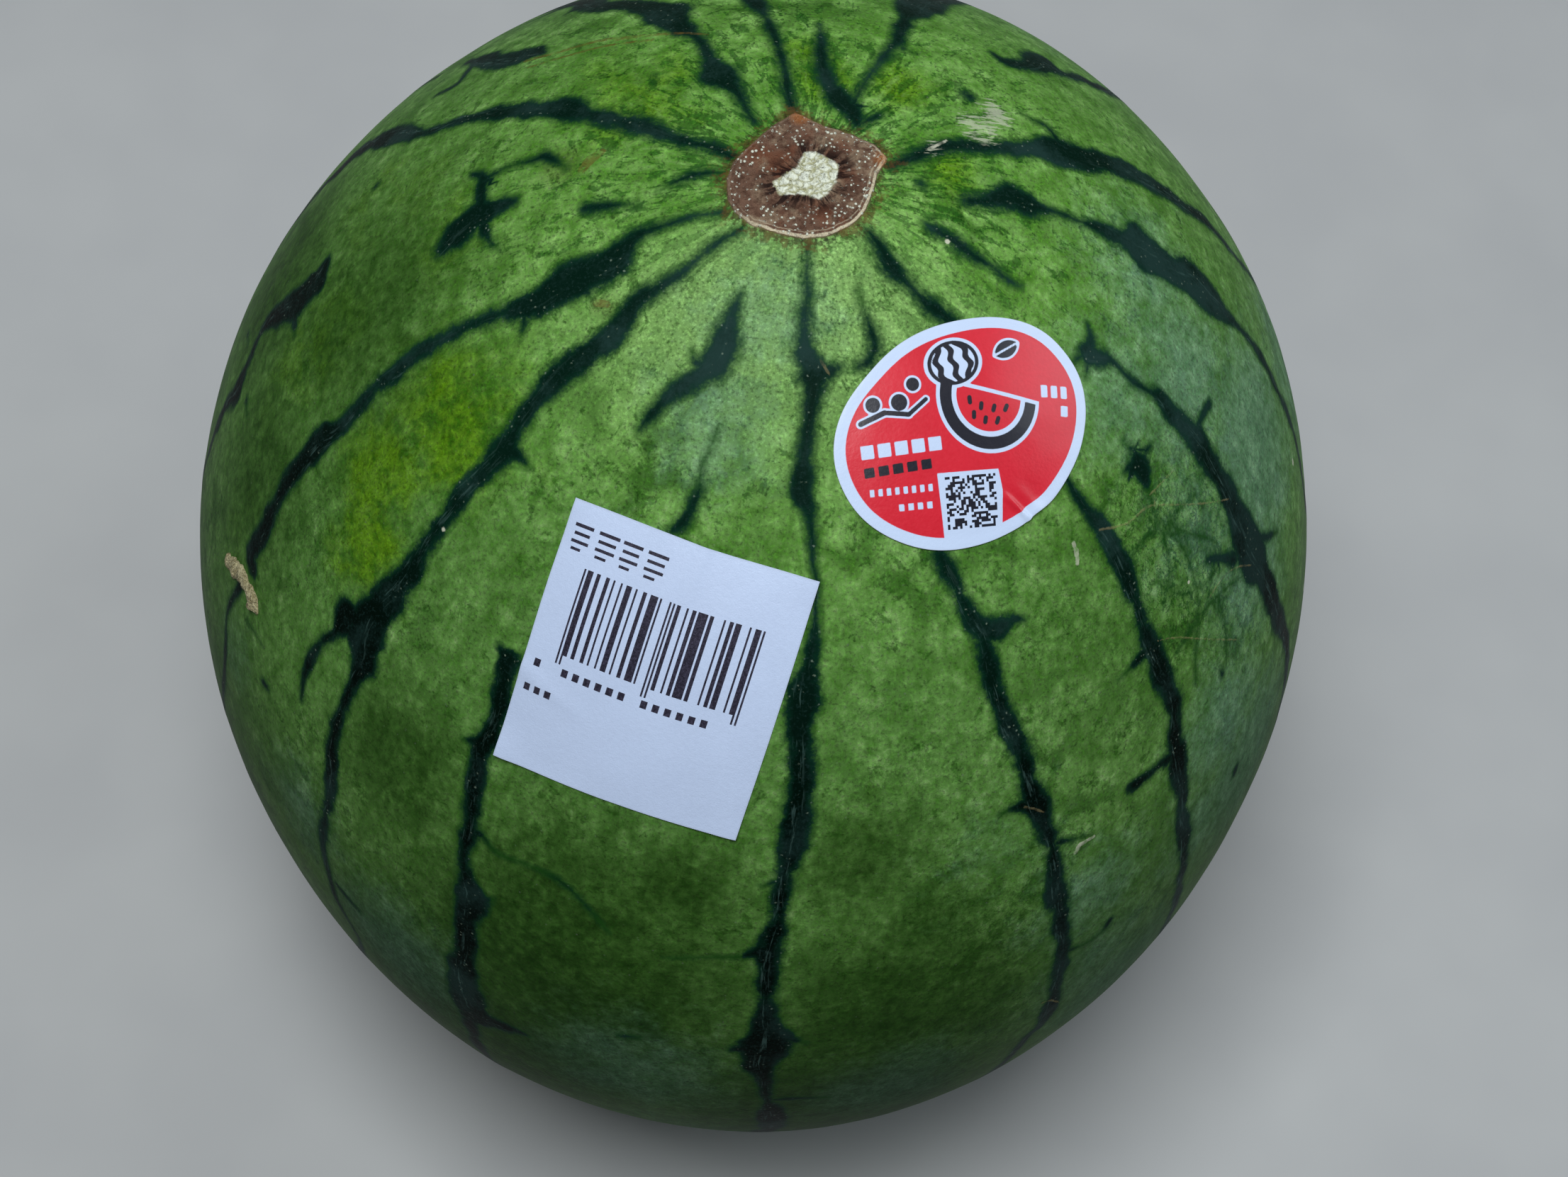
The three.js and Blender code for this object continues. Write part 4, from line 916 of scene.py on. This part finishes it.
def closed_sheet(name, top, bottom, quads, border, smooth=True):
    n = len(top)
    faces = [tuple(q) for q in quads] + [tuple(n + i for i in reversed(q)) for q in quads]
    k = len(border)
    faces += [(border[i], n + border[i], n + border[(i + 1) % k], border[(i + 1) % k]) for i in range(k)]
    ob = new_mesh(name, to_world(np.concatenate([top, bottom])), faces, smooth)
    return ob


def uv_plane(me, uv_of_vertex, split):
    """Top face in the lower half of the square, underside and rim squeezed above it."""
    lay = me.uv_layers.new(name='OFBake')
    loops = np.zeros(len(me.loops), int)
    me.loops.foreach_get('vertex_index', loops)
    q = uv_of_vertex[loops]
    lay.data.foreach_set('uv', q.astype(np.float32).ravel())


BARS = []  # module edges of the bars, as pairs on 0..95


def make_bars():
    rng = np.random.default_rng(1207)
    at, out = 3, [(0, 1), (2, 3)]
    def group(n, at):
        for _ in range(n):
            w = [1, 1, 1, 1]
            for _ in range(3):
                w[rng.integers(0, 4)] += 1
            x = at
            if rng.random() < 0.5:
                out.append((x + w[0], x + w[0] + w[1])); out.append((x + w[0] + w[1] + w[2], x + 7))
            else:
                out.append((x, x + w[0])); out.append((x + w[0] + w[1], x + w[0] + w[1] + w[2]))
            at += 7
        return at
    at = group(6, at)
    out.extend([(at + 1, at + 2), (at + 3, at + 4)])
    at = group(6, at + 5)
    out.extend([(at, at + 1), (at + 2, at + 3)])
    return out


def build_price_label():
    bars = make_bars()
    x0, x1 = 0.128, 0.862
    mod = (x1 - x0) / 95.0
    guards = {(0, 1), (2, 3), (46, 47), (48, 49), (92, 93), (94, 95)}
    vt, vb, vg = 0.213, 0.530, 0.566
    dash = []  # u0, u1, v0, v1 of the plain dashes that stand where the printed characters were
    for i, w in enumerate((0.085, 0.095, 0.088, 0.092)):
        u = 0.035 + i * 0.103
        dash.append((u, u + w * 0.92, 0.076, 0.087))
        dash.append((u + 0.006, u + w * 0.84, 0.104, 0.115))
        dash.append((u + 0.002, u + w * 0.88, 0.132, 0.143))
        dash.append((u + 0.010, u + w * 0.60, 0.158, 0.168))
    xs = [0.047] + [0.165 + i * 0.0475 for i in range(6)] + [0.495 + i * 0.0475 for i in range(6)]
    for u in xs:
        dash.append((u, u + 0.026, 0.577, 0.606))
    for i in range(3):
        dash.append((0.035 + i * 0.045, 0.060 + i * 0.045, 0.678, 0.706))
    cols = set(np.round(np.linspace(0, 1, 41), 5))
    for a, b in bars:
        cols |= {round(x0 + a * mod, 5), round(x0 + b * mod, 5)}
    rows = set(np.round(np.linspace(0, 1, 41), 5)) | {vt, vb, vg}
    for a, b, c, d in dash:
        cols |= {round(a, 5), round(b, 5)}
        rows |= {round(c, 5), round(d, 5)}

    def thin(vals, keep):
        vals = sorted(vals)
        out = [vals[0]]
        for v in vals[1:]:
            if v - out[-1] < 0.0012:
                if v in keep:
                    out[-1] = v
            else:
                out.append(v)
        return np.array(out)
    cu = thin(cols, {round(x0 + q * mod, 5) for ab in bars for q in ab} | {0.0, 1.0})
    rv = thin(rows, {vt, vb, vg, 0.0, 1.0})
    U, V = np.meshgrid(cu, rv)
    d = price_dirs(U, V).reshape(-1, 3)
    u, v = U.ravel(), V.ravel()
    h = 0.10 + skin_height(d)
    # soft folds of the paper: one down from the kink in the top edge, one in from the left edge
    h = h + 0.26 * np.exp(-((u - 0.55 + 0.10 * v) / 0.035) ** 2) * sstep(v, 0.42, 0.0)
    h = h + 0.20 * np.exp(-((v - 0.63 - 0.33 * u) / 0.035) ** 2) * sstep(u, 0.42, 0.0)
    h = h + 0.05 * fbm(np.stack([u * 4.2, v * 4.2, 0 * u], 1), 2, 71)
    # corners lift a hair
    for cx, cy, lift in ((0, 0, 0.35), (1, 0, 0.45), (1, 1, 0.30), (0, 1, 0.55)):
        h = h + lift * np.exp(-(((u - cx) ** 2 + (v - cy) ** 2) / 0.09 ** 2))
    h = h + 0.10 * np.exp(-((1 - v) / 0.03) ** 2) * (0.5 + 0.5 * np.sin(u * 9))
    h = np.maximum(h, skin_height(d) + 0.07)
    nn = normal(d)
    base = skin(d)
    top = base + nn * (h + 0.09)[:, None]
    bot = base + nn * h[:, None]
    nu, nv = len(cu), len(rv)
    at = lambda i, j: j * nu + i
    quads, ink = [], []
    for j in range(nv - 1):
        vm = (rv[j] + rv[j + 1]) / 2
        for i in range(nu - 1):
            um = (cu[i] + cu[i + 1]) / 2
            quads.append((at(i, j + 1), at(i + 1, j + 1), at(i + 1, j), at(i, j)))
            q = (um - x0) / mod
            on = False
            if 0 < q < 95 and vt < vm < vg:
                for a, b in bars:
                    if a < q < b:
                        on = vm < vb or (a, b) in guards
            for a, b, c, e in dash:
                on = on or (a < um < b and c < vm < e)
            ink.append(1 if on else 0)
    border = [at(0, j) for j in range(nv)] + [at(i, nv - 1) for i in range(1, nu)] + [at(nu - 1, j) for j in range(nv - 2, -1, -1)] + [at(i, 0) for i in range(nu - 2, 0, -1)]
    ob = closed_sheet('price_label_sheet', top, bot, quads, border)
    me = ob.data
    mats = np.zeros(len(me.polygons), np.int32)
    mats[:len(ink)] = ink
    me.polygons.foreach_set('material_index', mats)
    me.polygons.foreach_set('use_smooth', np.ones(len(me.polygons), bool))
    put(me, 'sheet', 'FLOAT_VECTOR', np.stack([np.tile(u, 2) * 37, np.tile(v, 2) * 37, np.repeat([0.0, 1.0], len(u))], 1))
    uv = np.concatenate([np.stack([0.01 + u * 0.98, 0.01 + (1 - v) * 0.88], 1), np.stack([0.01 + u * 0.98, 0.91 + (1 - v) * 0.08], 1)])
    uv_plane(me, uv, None)
    return ob


def paper_material():
    g = Graph('label_white_paper')
    S = g.attr('sheet')
    soft = g.noise(S, 9, 2, 0.5, seed=61)
    fib = g.noise(S, 0.55, 3, 0.6, seed=62)
    grit = g.noise(S, 0.16, 2, 0.5, seed=63)
    t = g.add(g.mul(soft, 0.35), g.add(g.mul(fib, 0.35), g.mul(grit, 0.3)))
    col = g.mix(g.step(t, -0.9, 0.9), PAPER['low'], PAPER['high'])
    sx, sy, sz = g.sep(S)
    rub = g.mul(g.step(g.noise(S, 1.3, 3, 0.65, seed=64), 0.75, 1.3), 0.35)
    col = g.mix(rub, col, PAPER['rub'])
    edge = g.mini(g.mini(sx, g.sub(37.0, sx)), g.mini(sy, g.sub(37.0, sy)))
    col = g.mix(g.step(edge, 0.35, 0.0, 0.0, 0.35), col, PAPER['rub'])
    rough = g.add(0.46, g.mul(fib, 0.05))
    n = g.bump(g.add(g.mul(fib, 0.6), g.mul(grit, 0.4)), 0.00002)
    return g.finish(col, rough, n)


def ink_material():
    g = Graph('label_black_ink')
    S = g.attr('sheet')
    fib = g.noise(S, 0.30, 3, 0.6, seed=65)
    dots = g.noise(S, 0.11, 2, 0.5, seed=66)
    col = g.mix(g.step(g.add(fib, dots), -0.6, 1.3), PAPER['ink'], PAPER['ink2'])
    return g.finish(col, g.add(0.42, g.mul(fib, 0.04)), g.bump(dots, 0.00001))


PAPER = {'low': rgb(198, 213, 242), 'high': rgb(207, 223, 253), 'rub': rgb(176, 186, 206), 'ink': rgb(30, 26, 40), 'ink2': rgb(74, 70, 92)}


OVAL = [(60.54, 17.20), (56.01, 16.27), (50.88, 15.55), (45.24, 15.09), (39.33, 14.95), (33.54, 15.15), (28.30, 15.69), (23.81, 16.47), (19.88, 17.37), (16.65, 18.41),
        (14.38, 19.63), (13.05, 20.98), (12.67, 22.39), (13.16, 23.79), (14.29, 25.13), (15.81, 26.41), (17.79, 27.55), (20.15, 28.54), (22.68, 29.40), (25.36, 30.15),
        (28.18, 30.74), (31.12, 31.16), (34.13, 31.43), (37.17, 31.61), (40.24, 31.67), (43.34, 31.69), (46.45, 31.68), (49.43, 31.29), (52.41, 30.87), (55.38, 30.38),
        (58.26, 29.76), (60.97, 28.99), (63.46, 28.06), (65.69, 26.98), (67.38, 25.72), (68.33, 24.28), (68.80, 22.78), (68.44, 21.25), (66.85, 19.75), (64.19, 18.38)]
OVAL_N = np.array([0.31504331, -0.39457669, 0.86316681])
OVAL_X = np.array([0.92001843, 0.35029801, -0.17566271])
OVAL_Y = np.array([-0.23305321, 0.84947074, 0.47337687])


# signed distances in the plane of the oval label, negative inside, mm
def sd_disc(p, c, r):
    return np.hypot(p[:, 0] - c[0], p[:, 1] - c[1]) - r


def sd_stroke(p, a, b, r):
    a, b = np.array(a, float), np.array(b, float)
    e, w = b - a, p - a
    t = np.clip((w @ e) / max(e @ e, 1e-9), 0, 1)
    return np.hypot(*(w - t[:, None] * e).T) - r


def oval_art(p):
    """Distances to the dark ink, the white ink and the pale code panel."""
    big = np.full(len(p), 9.0)
    dark, white = big.copy(), big.copy()
    # slice of melon: a half disc turned a little, dark rind and dark seeds, white inner band
    def turn(p, c, deg):
        k = math.radians(deg)
        q = p - np.array(c)
        return np.stack([q[:, 0] * math.cos(k) + q[:, 1] * math.sin(k), -q[:, 0] * math.sin(k) + q[:, 1] * math.cos(k)], 1)
    q = turn(p, (4.6, 4.4), -16)
    half = lambda r, cut: np.maximum(np.hypot(q[:, 0], q[:, 1]) - r, q[:, 1] - cut)
    outline = half(7.15, 0.95)
    rind_d = np.maximum(half(6.65, 0.45), -(half(5.1, 9)))
    white = np.minimum(white, outline)
    dark = np.minimum(dark, rind_d)
    flesh = half(4.45, 0.45)
    white = np.maximum(white, -flesh)
    for sx, sy in ((-2.6, -1.1), (-0.9, -1.5), (0.9, -1.4), (2.6, -1.0), (-1.7, -2.8), (0.0, -3.1), (1.7, -2.8)):
        dark = np.minimum(dark, sd_stroke(q, (sx, sy + 0.32), (sx * 0.94, sy - 0.25), 0.30))
    # small whole melon above it, three stripes
    c = np.array((0.3, 8.9))
    r = turn(p, c, 12)
    body = np.hypot(r[:, 0] / 3.5, r[:, 1] / 2.8)
    ring = (body - 1) * 2.9
    white = np.minimum(white, ring - 0.42)
    dark = np.minimum(dark, np.maximum(ring, -(ring + 0.42)))
    for k in (-0.66, 0.0, 0.66):
        x = r[:, 0] - k * 3.2 * np.sqrt(np.clip(1 - (r[:, 1] / 2.9) ** 2, 0, 1))
        dark = np.minimum(dark, np.maximum(np.abs(x + 0.22 * np.sin(r[:, 1] * 3.1 + k)) - 0.42, ring))
    # leaf and curl beside it
    lf = turn(p, (7.9, 10.3), 24)
    leaf = np.maximum(np.hypot(lf[:, 0], lf[:, 1] + 1.3) - 2.35, np.hypot(lf[:, 0], lf[:, 1] - 1.3) - 2.35)
    white = np.minimum(white, leaf - 0.3)
    dark = np.minimum(dark, np.maximum(leaf, -(np.abs(lf[:, 1]) - 0.14)))
    # plain bars in place of the smaller lines of print
    def bar(a, b, h, gaps):
        out = big.copy()
        a, b = np.array(a, float), np.array(b, float)
        L = np.linalg.norm(b - a)
        t = (b - a) / L
        nrm = np.array([-t[1], t[0]])
        w = p - a
        s, n = w @ t, np.abs(w @ nrm)
        pitch = L / gaps
        loc = np.abs(((s / pitch) % 1) - 0.5) * pitch
        box = np.maximum(loc - pitch * 0.5 + 0.26, n - h)
        return np.minimum(out, np.maximum(box, np.abs(s - L / 2) - L / 2))
    white = np.minimum(white, bar((-13.2, -1.30), (-2.2, -0.95), 0.85, 5))
    dark = np.minimum(dark, bar((-13.0, -3.85), (-3.7, -3.35), 0.62, 5))
    white = np.minimum(white, bar((-12.5, -6.35), (-3.8, -6.30), 0.45, 8))
    white = np.minimum(white, bar((-8.9, -8.45), (-4.0, -8.42), 0.42, 4))
    white = np.minimum(white, bar((11.9, 4.75), (16.4, 4.35), 0.80, 3))
    white = np.minimum(white, bar((14.6, 2.1), (16.2, 1.9), 0.70, 1))
    # cream strokes of a vine to the left
    for a, b, w in (((-12.6, 2.3), (-9.4, 3.4), 0.34), ((-9.4, 3.4), (-6.3, 2.9), 0.30), ((-6.3, 2.9), (-3.9, 4.6), 0.26)):
        s = sd_stroke(p, a, b, w)
        white = np.minimum(white, s - 0.26)
        dark = np.minimum(dark, s)
    for cx, cy, rr in ((-10.8, 4.5, 0.95), (-7.4, 4.5, 1.05), (-5.4, 6.6, 0.85)):
        s = sd_disc(p, (cx, cy), rr)
        white = np.minimum(white, s - 0.28)
        dark = np.minimum(dark, s)
    panel = sd_poly(p, [(-3.36, -4.65), (4.91, -4.68), (5.31, -7.27), (5.06, -11.56), (4.6, -13.9), (-2.94, -13.5)])
    return dark, white, panel


def build_oval_label():
    rings, seg = ((92, 360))
    o = direction(*np.array(OVAL).T)
    mid = skin(direction(38.785, 23.025))
    q = o * ((mid @ OVAL_N) / (o @ OVAL_N))[:, None] - mid      # on the plane that touches at the middle
    flat = np.stack([q @ OVAL_X, q @ OVAL_Y], 1)
    if np.sum(flat[:, 0] * np.roll(flat[:, 1], -1) - np.roll(flat[:, 0], -1) * flat[:, 1]) < 0:
        flat = flat[::-1]
    ang = np.unwrap(np.arctan2(flat[:, 1], flat[:, 0]))
    rad = np.hypot(*flat.T)
    ta = np.linspace(0, 2 * math.pi, seg, endpoint=False)
    A = np.concatenate([ang - 2 * math.pi, ang, ang + 2 * math.pi])
    R = np.tile(rad, 3)
    order = np.argsort(A)
    rr = np.interp(ta, A[order], R[order])
    k = np.hanning(2 * (seg // 40) + 3)
    rr = np.real(np.fft.ifft(np.fft.fft(rr) * np.fft.fft(np.roll(np.pad(k / k.sum(), (0, seg - len(k))), -(len(k) // 2)))))
    # the edge is nicked where the print has a crease, towards lower right
    edge_xy = np.stack([np.cos(ta), np.sin(ta)], 1) * rr[:, None]
    nick = np.exp(-(((edge_xy - np.array([9.9, -10.2])) ** 2).sum(1)) / 1.8 ** 2)
    rr = rr * (1 - 0.030 * nick)
    f = np.linspace(0, 1, rings + 1)[1:]
    f = 1 - (1 - f) ** 1.12
    pts = [np.zeros((1, 2))] + [np.stack([np.cos(ta), np.sin(ta)], 1) * (rr * q)[:, None] for q in f]
    xy = np.concatenate(pts)
    d = unit(mid + xy[:, :1] * OVAL_X + xy[:, 1:] * OVAL_Y)
    mm = xy
    frac = np.concatenate([[0], np.repeat(f, seg)])
    rim = np.concatenate([[rr.mean()], np.tile(rr, rings)])
    edge = (1 - frac) * rim
    h = 0.10 + skin_height(d)
    h = h + 0.04 * fbm(np.stack([mm[:, 0] / 5, mm[:, 1] / 5, 0 * mm[:, 0]], 1), 2, 81)
    # crease that runs from the corner of the panel to the edge, and a slack fold beside it
    a, b = np.array([5.2, -7.4]), np.array([9.4, -11.8])
    t = (b - a) / np.linalg.norm(b - a)
    w = mm - a
    s, n = w @ t, w @ np.array([-t[1], t[0]])
    along = sstep(s, -0.5, 2.5) * sstep(s, 9.5, 5.0)
    h = h + along * (0.34 * np.exp(-((n + 0.1) / 0.42) ** 2) + 0.16 * np.exp(-((n - 1.6) / 1.0) ** 2))
    h = h + 0.22 * np.exp(-((edge) / 1.1) ** 2) * (0.35 + 0.65 * np.exp(-((mm - np.array([10.5, -9.0])) ** 2).sum(1) / 16))
    h = np.maximum(h, skin_height(d) + 0.07)
    nn, base = normal(d), skin(d)
    top = base + nn * (h + 0.10)[:, None]
    bot = base + nn * h[:, None]
    quads = [(0, 1 + i, 1 + (i + 1) % seg) for i in range(seg)]
    for j in range(rings - 1):
        for i in range(seg):
            p, q = 1 + j * seg + i, 1 + j * seg + (i + 1) % seg
            quads.append((p, p + seg, q + seg, q))
    last = 1 + (rings - 1) * seg
    border = [last + i for i in range(seg - 1, -1, -1)]
    ob = closed_sheet('oval_label_sheet', top, bot, quads, border)
    me = ob.data
    two = lambda x: np.concatenate([x, x])
    put(me, 'art', 'FLOAT_VECTOR', np.stack([two(mm[:, 0]), two(mm[:, 1]), two(edge)], 1))
    dark, white, panel = oval_art(mm)
    put(me, 'ink', 'FLOAT_VECTOR', np.stack([two(dark), two(white), two(panel)], 1))
    lo, hi = mm.min(0), mm.max(0)
    q = (mm - lo) / (hi - lo)
    uv = np.concatenate([np.stack([0.01 + q[:, 0] * 0.98, 0.01 + q[:, 1] * 0.86], 1), np.stack([0.01 + q[:, 0] * 0.98, 0.90 + q[:, 1] * 0.09], 1)])
    uv_plane(me, uv, None)
    return ob


def oval_material():
    g = Graph('label_red_gloss')
    x, y, e = g.sep(g.attr('art'))
    dark, white, panel = g.sep(g.attr('ink'))
    P = g.vec(x, y, 0.0)
    soft = g.noise(P, 7, 2, 0.5, seed=91)
    fib = g.noise(P, 0.5, 3, 0.6, seed=92)
    wob = g.mul(fib, 0.02)
    col = g.mix(g.step(g.add(g.mul(soft, 0.6), g.mul(fib, 0.4)), -0.9, 0.9), LABEL['red2'], LABEL['red'])
    cut = lambda v, w=0.05: g.step(g.add(v, wob), w, -w)
    col = g.mix(cut(white), col, LABEL['white'])
    col = g.mix(cut(dark), col, LABEL['navy'])
    border = g.step(g.add(e, wob), 1.62, 1.50)
    col = g.mix(border, col, LABEL['white'])
    col = g.mix(cut(panel), col, LABEL['white'])
    # plain random squares inside the panel
    cell = 0.326
    vx = g.m('FLOOR', g.m('DIVIDE', g.add(x, 2.42), cell))
    vy = g.m('FLOOR', g.m('DIVIDE', g.add(y, 11.72), cell))
    wn = g.node('ShaderNodeTexWhiteNoise', noise_dimensions='3D')
    g.feed(wn.inputs['Vector'], g.vec(vx, vy, 3.0))
    on = g.m('GREATER_THAN', wn.outputs['Value'], 0.48)
    inside = g.mul(g.mul(g.step(vx, -0.5, -0.4), g.step(vx, 20.6, 20.5)), g.mul(g.step(vy, -0.5, -0.4), g.step(vy, 19.6, 19.5)))
    col = g.mix(g.mul(on, inside), col, LABEL['navy'])
    col = g.mix(g.step(e, 0.12, 0.0, 0.0, 0.5), col, LABEL['edge'])
    g.bsdf.inputs['Coat Weight'].default_value = 0.55
    g.bsdf.inputs['Coat Roughness'].default_value = 0.22
    return g.finish(col, g.add(0.42, g.mul(fib, 0.03)), g.bump(g.add(g.mul(soft, 1.2), g.mul(fib, 0.35)), 0.00003))


LABEL = {'red': rgb(226, 32, 54), 'red2': rgb(212, 24, 44), 'white': rgb(206, 223, 252), 'navy': rgb(22, 22, 36), 'edge': rgb(170, 172, 180)}


# ------------------------------------------------------------------ corky ridge grown on the left flank
def build_cork():
    pts, rad, arc = dense([(a, b, c * 1.5) for a, b, c in CORK], 0.3)
    t, b, n = path_frame(pts)
    k = 14
    ring_pts = []
    rng = np.random.default_rng(5)
    for i in range(len(pts)):
        end = min(arc[i], arc[-1] - arc[i])
        w = rad[i] * (0.35 + 0.65 * sstep(end, 0, 1.2)) * (1 + 0.30 * noise3(pts[i:i + 1] / 0.9, 61)[0])
        hh = w * (0.50 + 0.25 * noise3(pts[i:i + 1] / 0.7 + 3, 62)[0])
        a = np.linspace(0, 2 * math.pi, k, endpoint=False)
        cx, cz = np.cos(a) * w, np.sin(a) * hh
        q = pts[i] + b[i] * cx[:, None] + unit(pts[i:i + 1])[0] * (cz + 0.05 + undulate(unit(pts[i:i + 1]))[0])[:, None]
        q = q + 0.26 * w * np.stack([noise3(q / 0.45 + s, 63) for s in (0, 9, 17)], 1)
        ring_pts.append(q)
    v = np.concatenate(ring_pts + [ring_pts[0].mean(0)[None], ring_pts[-1].mean(0)[None]])
    m = len(pts)
    faces = []
    for i in range(m - 1):
        for j in range(k):
            a, c = i * k + j, i * k + (j + 1) % k
            faces.append((a, c, c + k, a + k))
    faces += [(m * k, (j + 1) % k, j) for j in range(k)]
    faces += [(m * k + 1, (m - 1) * k + j, (m - 1) * k + (j + 1) % k) for j in range(k)]
    ob = new_mesh('cork_ridge', to_world(v), faces)
    fix_normals(ob)
    g = Graph('cork_tissue')
    a = g.noise(g.mm, 0.9, 3, 0.6, seed=71)
    f = g.noise(g.mm, 0.3, 2, 0.6, seed=72)
    col = g.mix(g.step(g.add(a, g.mul(f, 0.6)), -0.9, 0.9), rgb(132, 120, 80), rgb(206, 196, 154))
    ob.data.materials.append(g.finish(col, 0.8, g.bump(f, 0.0002)))
    return ob


def crisp(ob):
    ob.data.set_sharp_from_angle(angle=math.radians(35))


def fix_normals(ob):
    import bmesh
    bm = bmesh.new()
    bm.from_mesh(ob.data)
    bmesh.ops.recalc_face_normals(bm, faces=bm.faces)
    bm.to_mesh(ob.data)
    bm.free()


# ------------------------------------------------------------------ assembly
fruit = build_fruit()
fruit.data.materials.append(rind_material())
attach(fruit, "root")
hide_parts("melon")

ridge = build_cork()
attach(ridge, "root")

price = build_price_label()
price.data.materials.append(paper_material())
price.data.materials.append(ink_material())
crisp(price)
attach(price, "root")
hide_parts("barcode_label")

oval = build_oval_label()
oval.data.materials.append(oval_material())
crisp(oval)
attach(oval, "root")
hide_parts("oval_label")

FLOOR_A, FLOOR_B = rgb(176, 177, 178), rgb(184, 185, 185)
WORLD_COLOUR, WORLD_POWER = (0.78, 0.88, 1.0), 0.05
LIGHTS = [
    ('overhead_softbox', (-0.12, -0.24, 1.28), (0.0, 0.0, 0.10), (0.55, 0.5), 13.0, (0.94, 0.98, 1.0)),
    ('back_softbox', (0.05, 1.25, 1.0), (0.0, 0.0, 0.10), (1.0, 0.6), 2.4, (0.93, 0.98, 1.0)),
    ('side_softbox', (1.15, 0.30, 0.75), (0.0, 0.0, 0.10), (0.7, 0.7), 3.5, (0.86, 0.94, 1.0)),
]

# floor
s = 3.0
floor = new_mesh('studio_floor', [(-s, -s, 0), (s, -s, 0), (s, s, 0), (-s, s, 0)], [(0, 1, 2, 3)], False)
floor.location.z = -0.0002
g = Graph('studio_floor_paint')
fn = g.noise(g.mm, 40, 3, 0.5, seed=95)
floor.data.materials.append(g.finish(g.mix(g.step(fn, -1, 1), FLOOR_A, FLOOR_B), 0.7))

scene = bpy.context.scene
world = bpy.data.worlds.new('studio_world')
scene.world = world
world.use_nodes = True
bg = world.node_tree.nodes['Background']
bg.inputs[0].default_value = (*WORLD_COLOUR, 1)
bg.inputs[1].default_value = WORLD_POWER


def area(name, where, aim, size, power, colour):
    lamp = bpy.data.lights.new(name, 'AREA')
    lamp.shape = 'RECTANGLE'
    lamp.size, lamp.size_y = size
    lamp.energy = power
    lamp.color = colour
    ob = bpy.data.objects.new(name, lamp)
    scene.collection.objects.link(ob)
    from mathutils import Vector
    ob.location = where
    ob.rotation_euler = (Vector(aim) - Vector(where)).to_track_quat('-Z', 'Y').to_euler()
    return ob


for args in LIGHTS:
    area(*args)

cam_data = bpy.data.cameras.new('photo_camera')
cam_data.sensor_width = 36.0
cam_data.lens = 68.354
cam_data.clip_start, cam_data.clip_end = 0.01, 20
cam = bpy.data.objects.new('photo_camera', cam_data)
scene.collection.objects.link(cam)
from mathutils import Matrix
right = np.array([0.99053031, 0.11406545, 0.07641194])
up = np.array([-0.13685488, 0.8647997, 0.48310684])
fwd = np.array([0.01097523, 0.48898931, -0.87222073])
loc = to_world(np.array([0, -227.346, 395.694]))
mat = Matrix([[right[i], up[i], -fwd[i], loc[i]] for i in range(3)] + [[0, 0, 0, 1]])
cam.matrix_world = mat
scene.camera = cam
scene.view_settings.view_transform = 'Standard'
scene.view_settings.look = 'None'

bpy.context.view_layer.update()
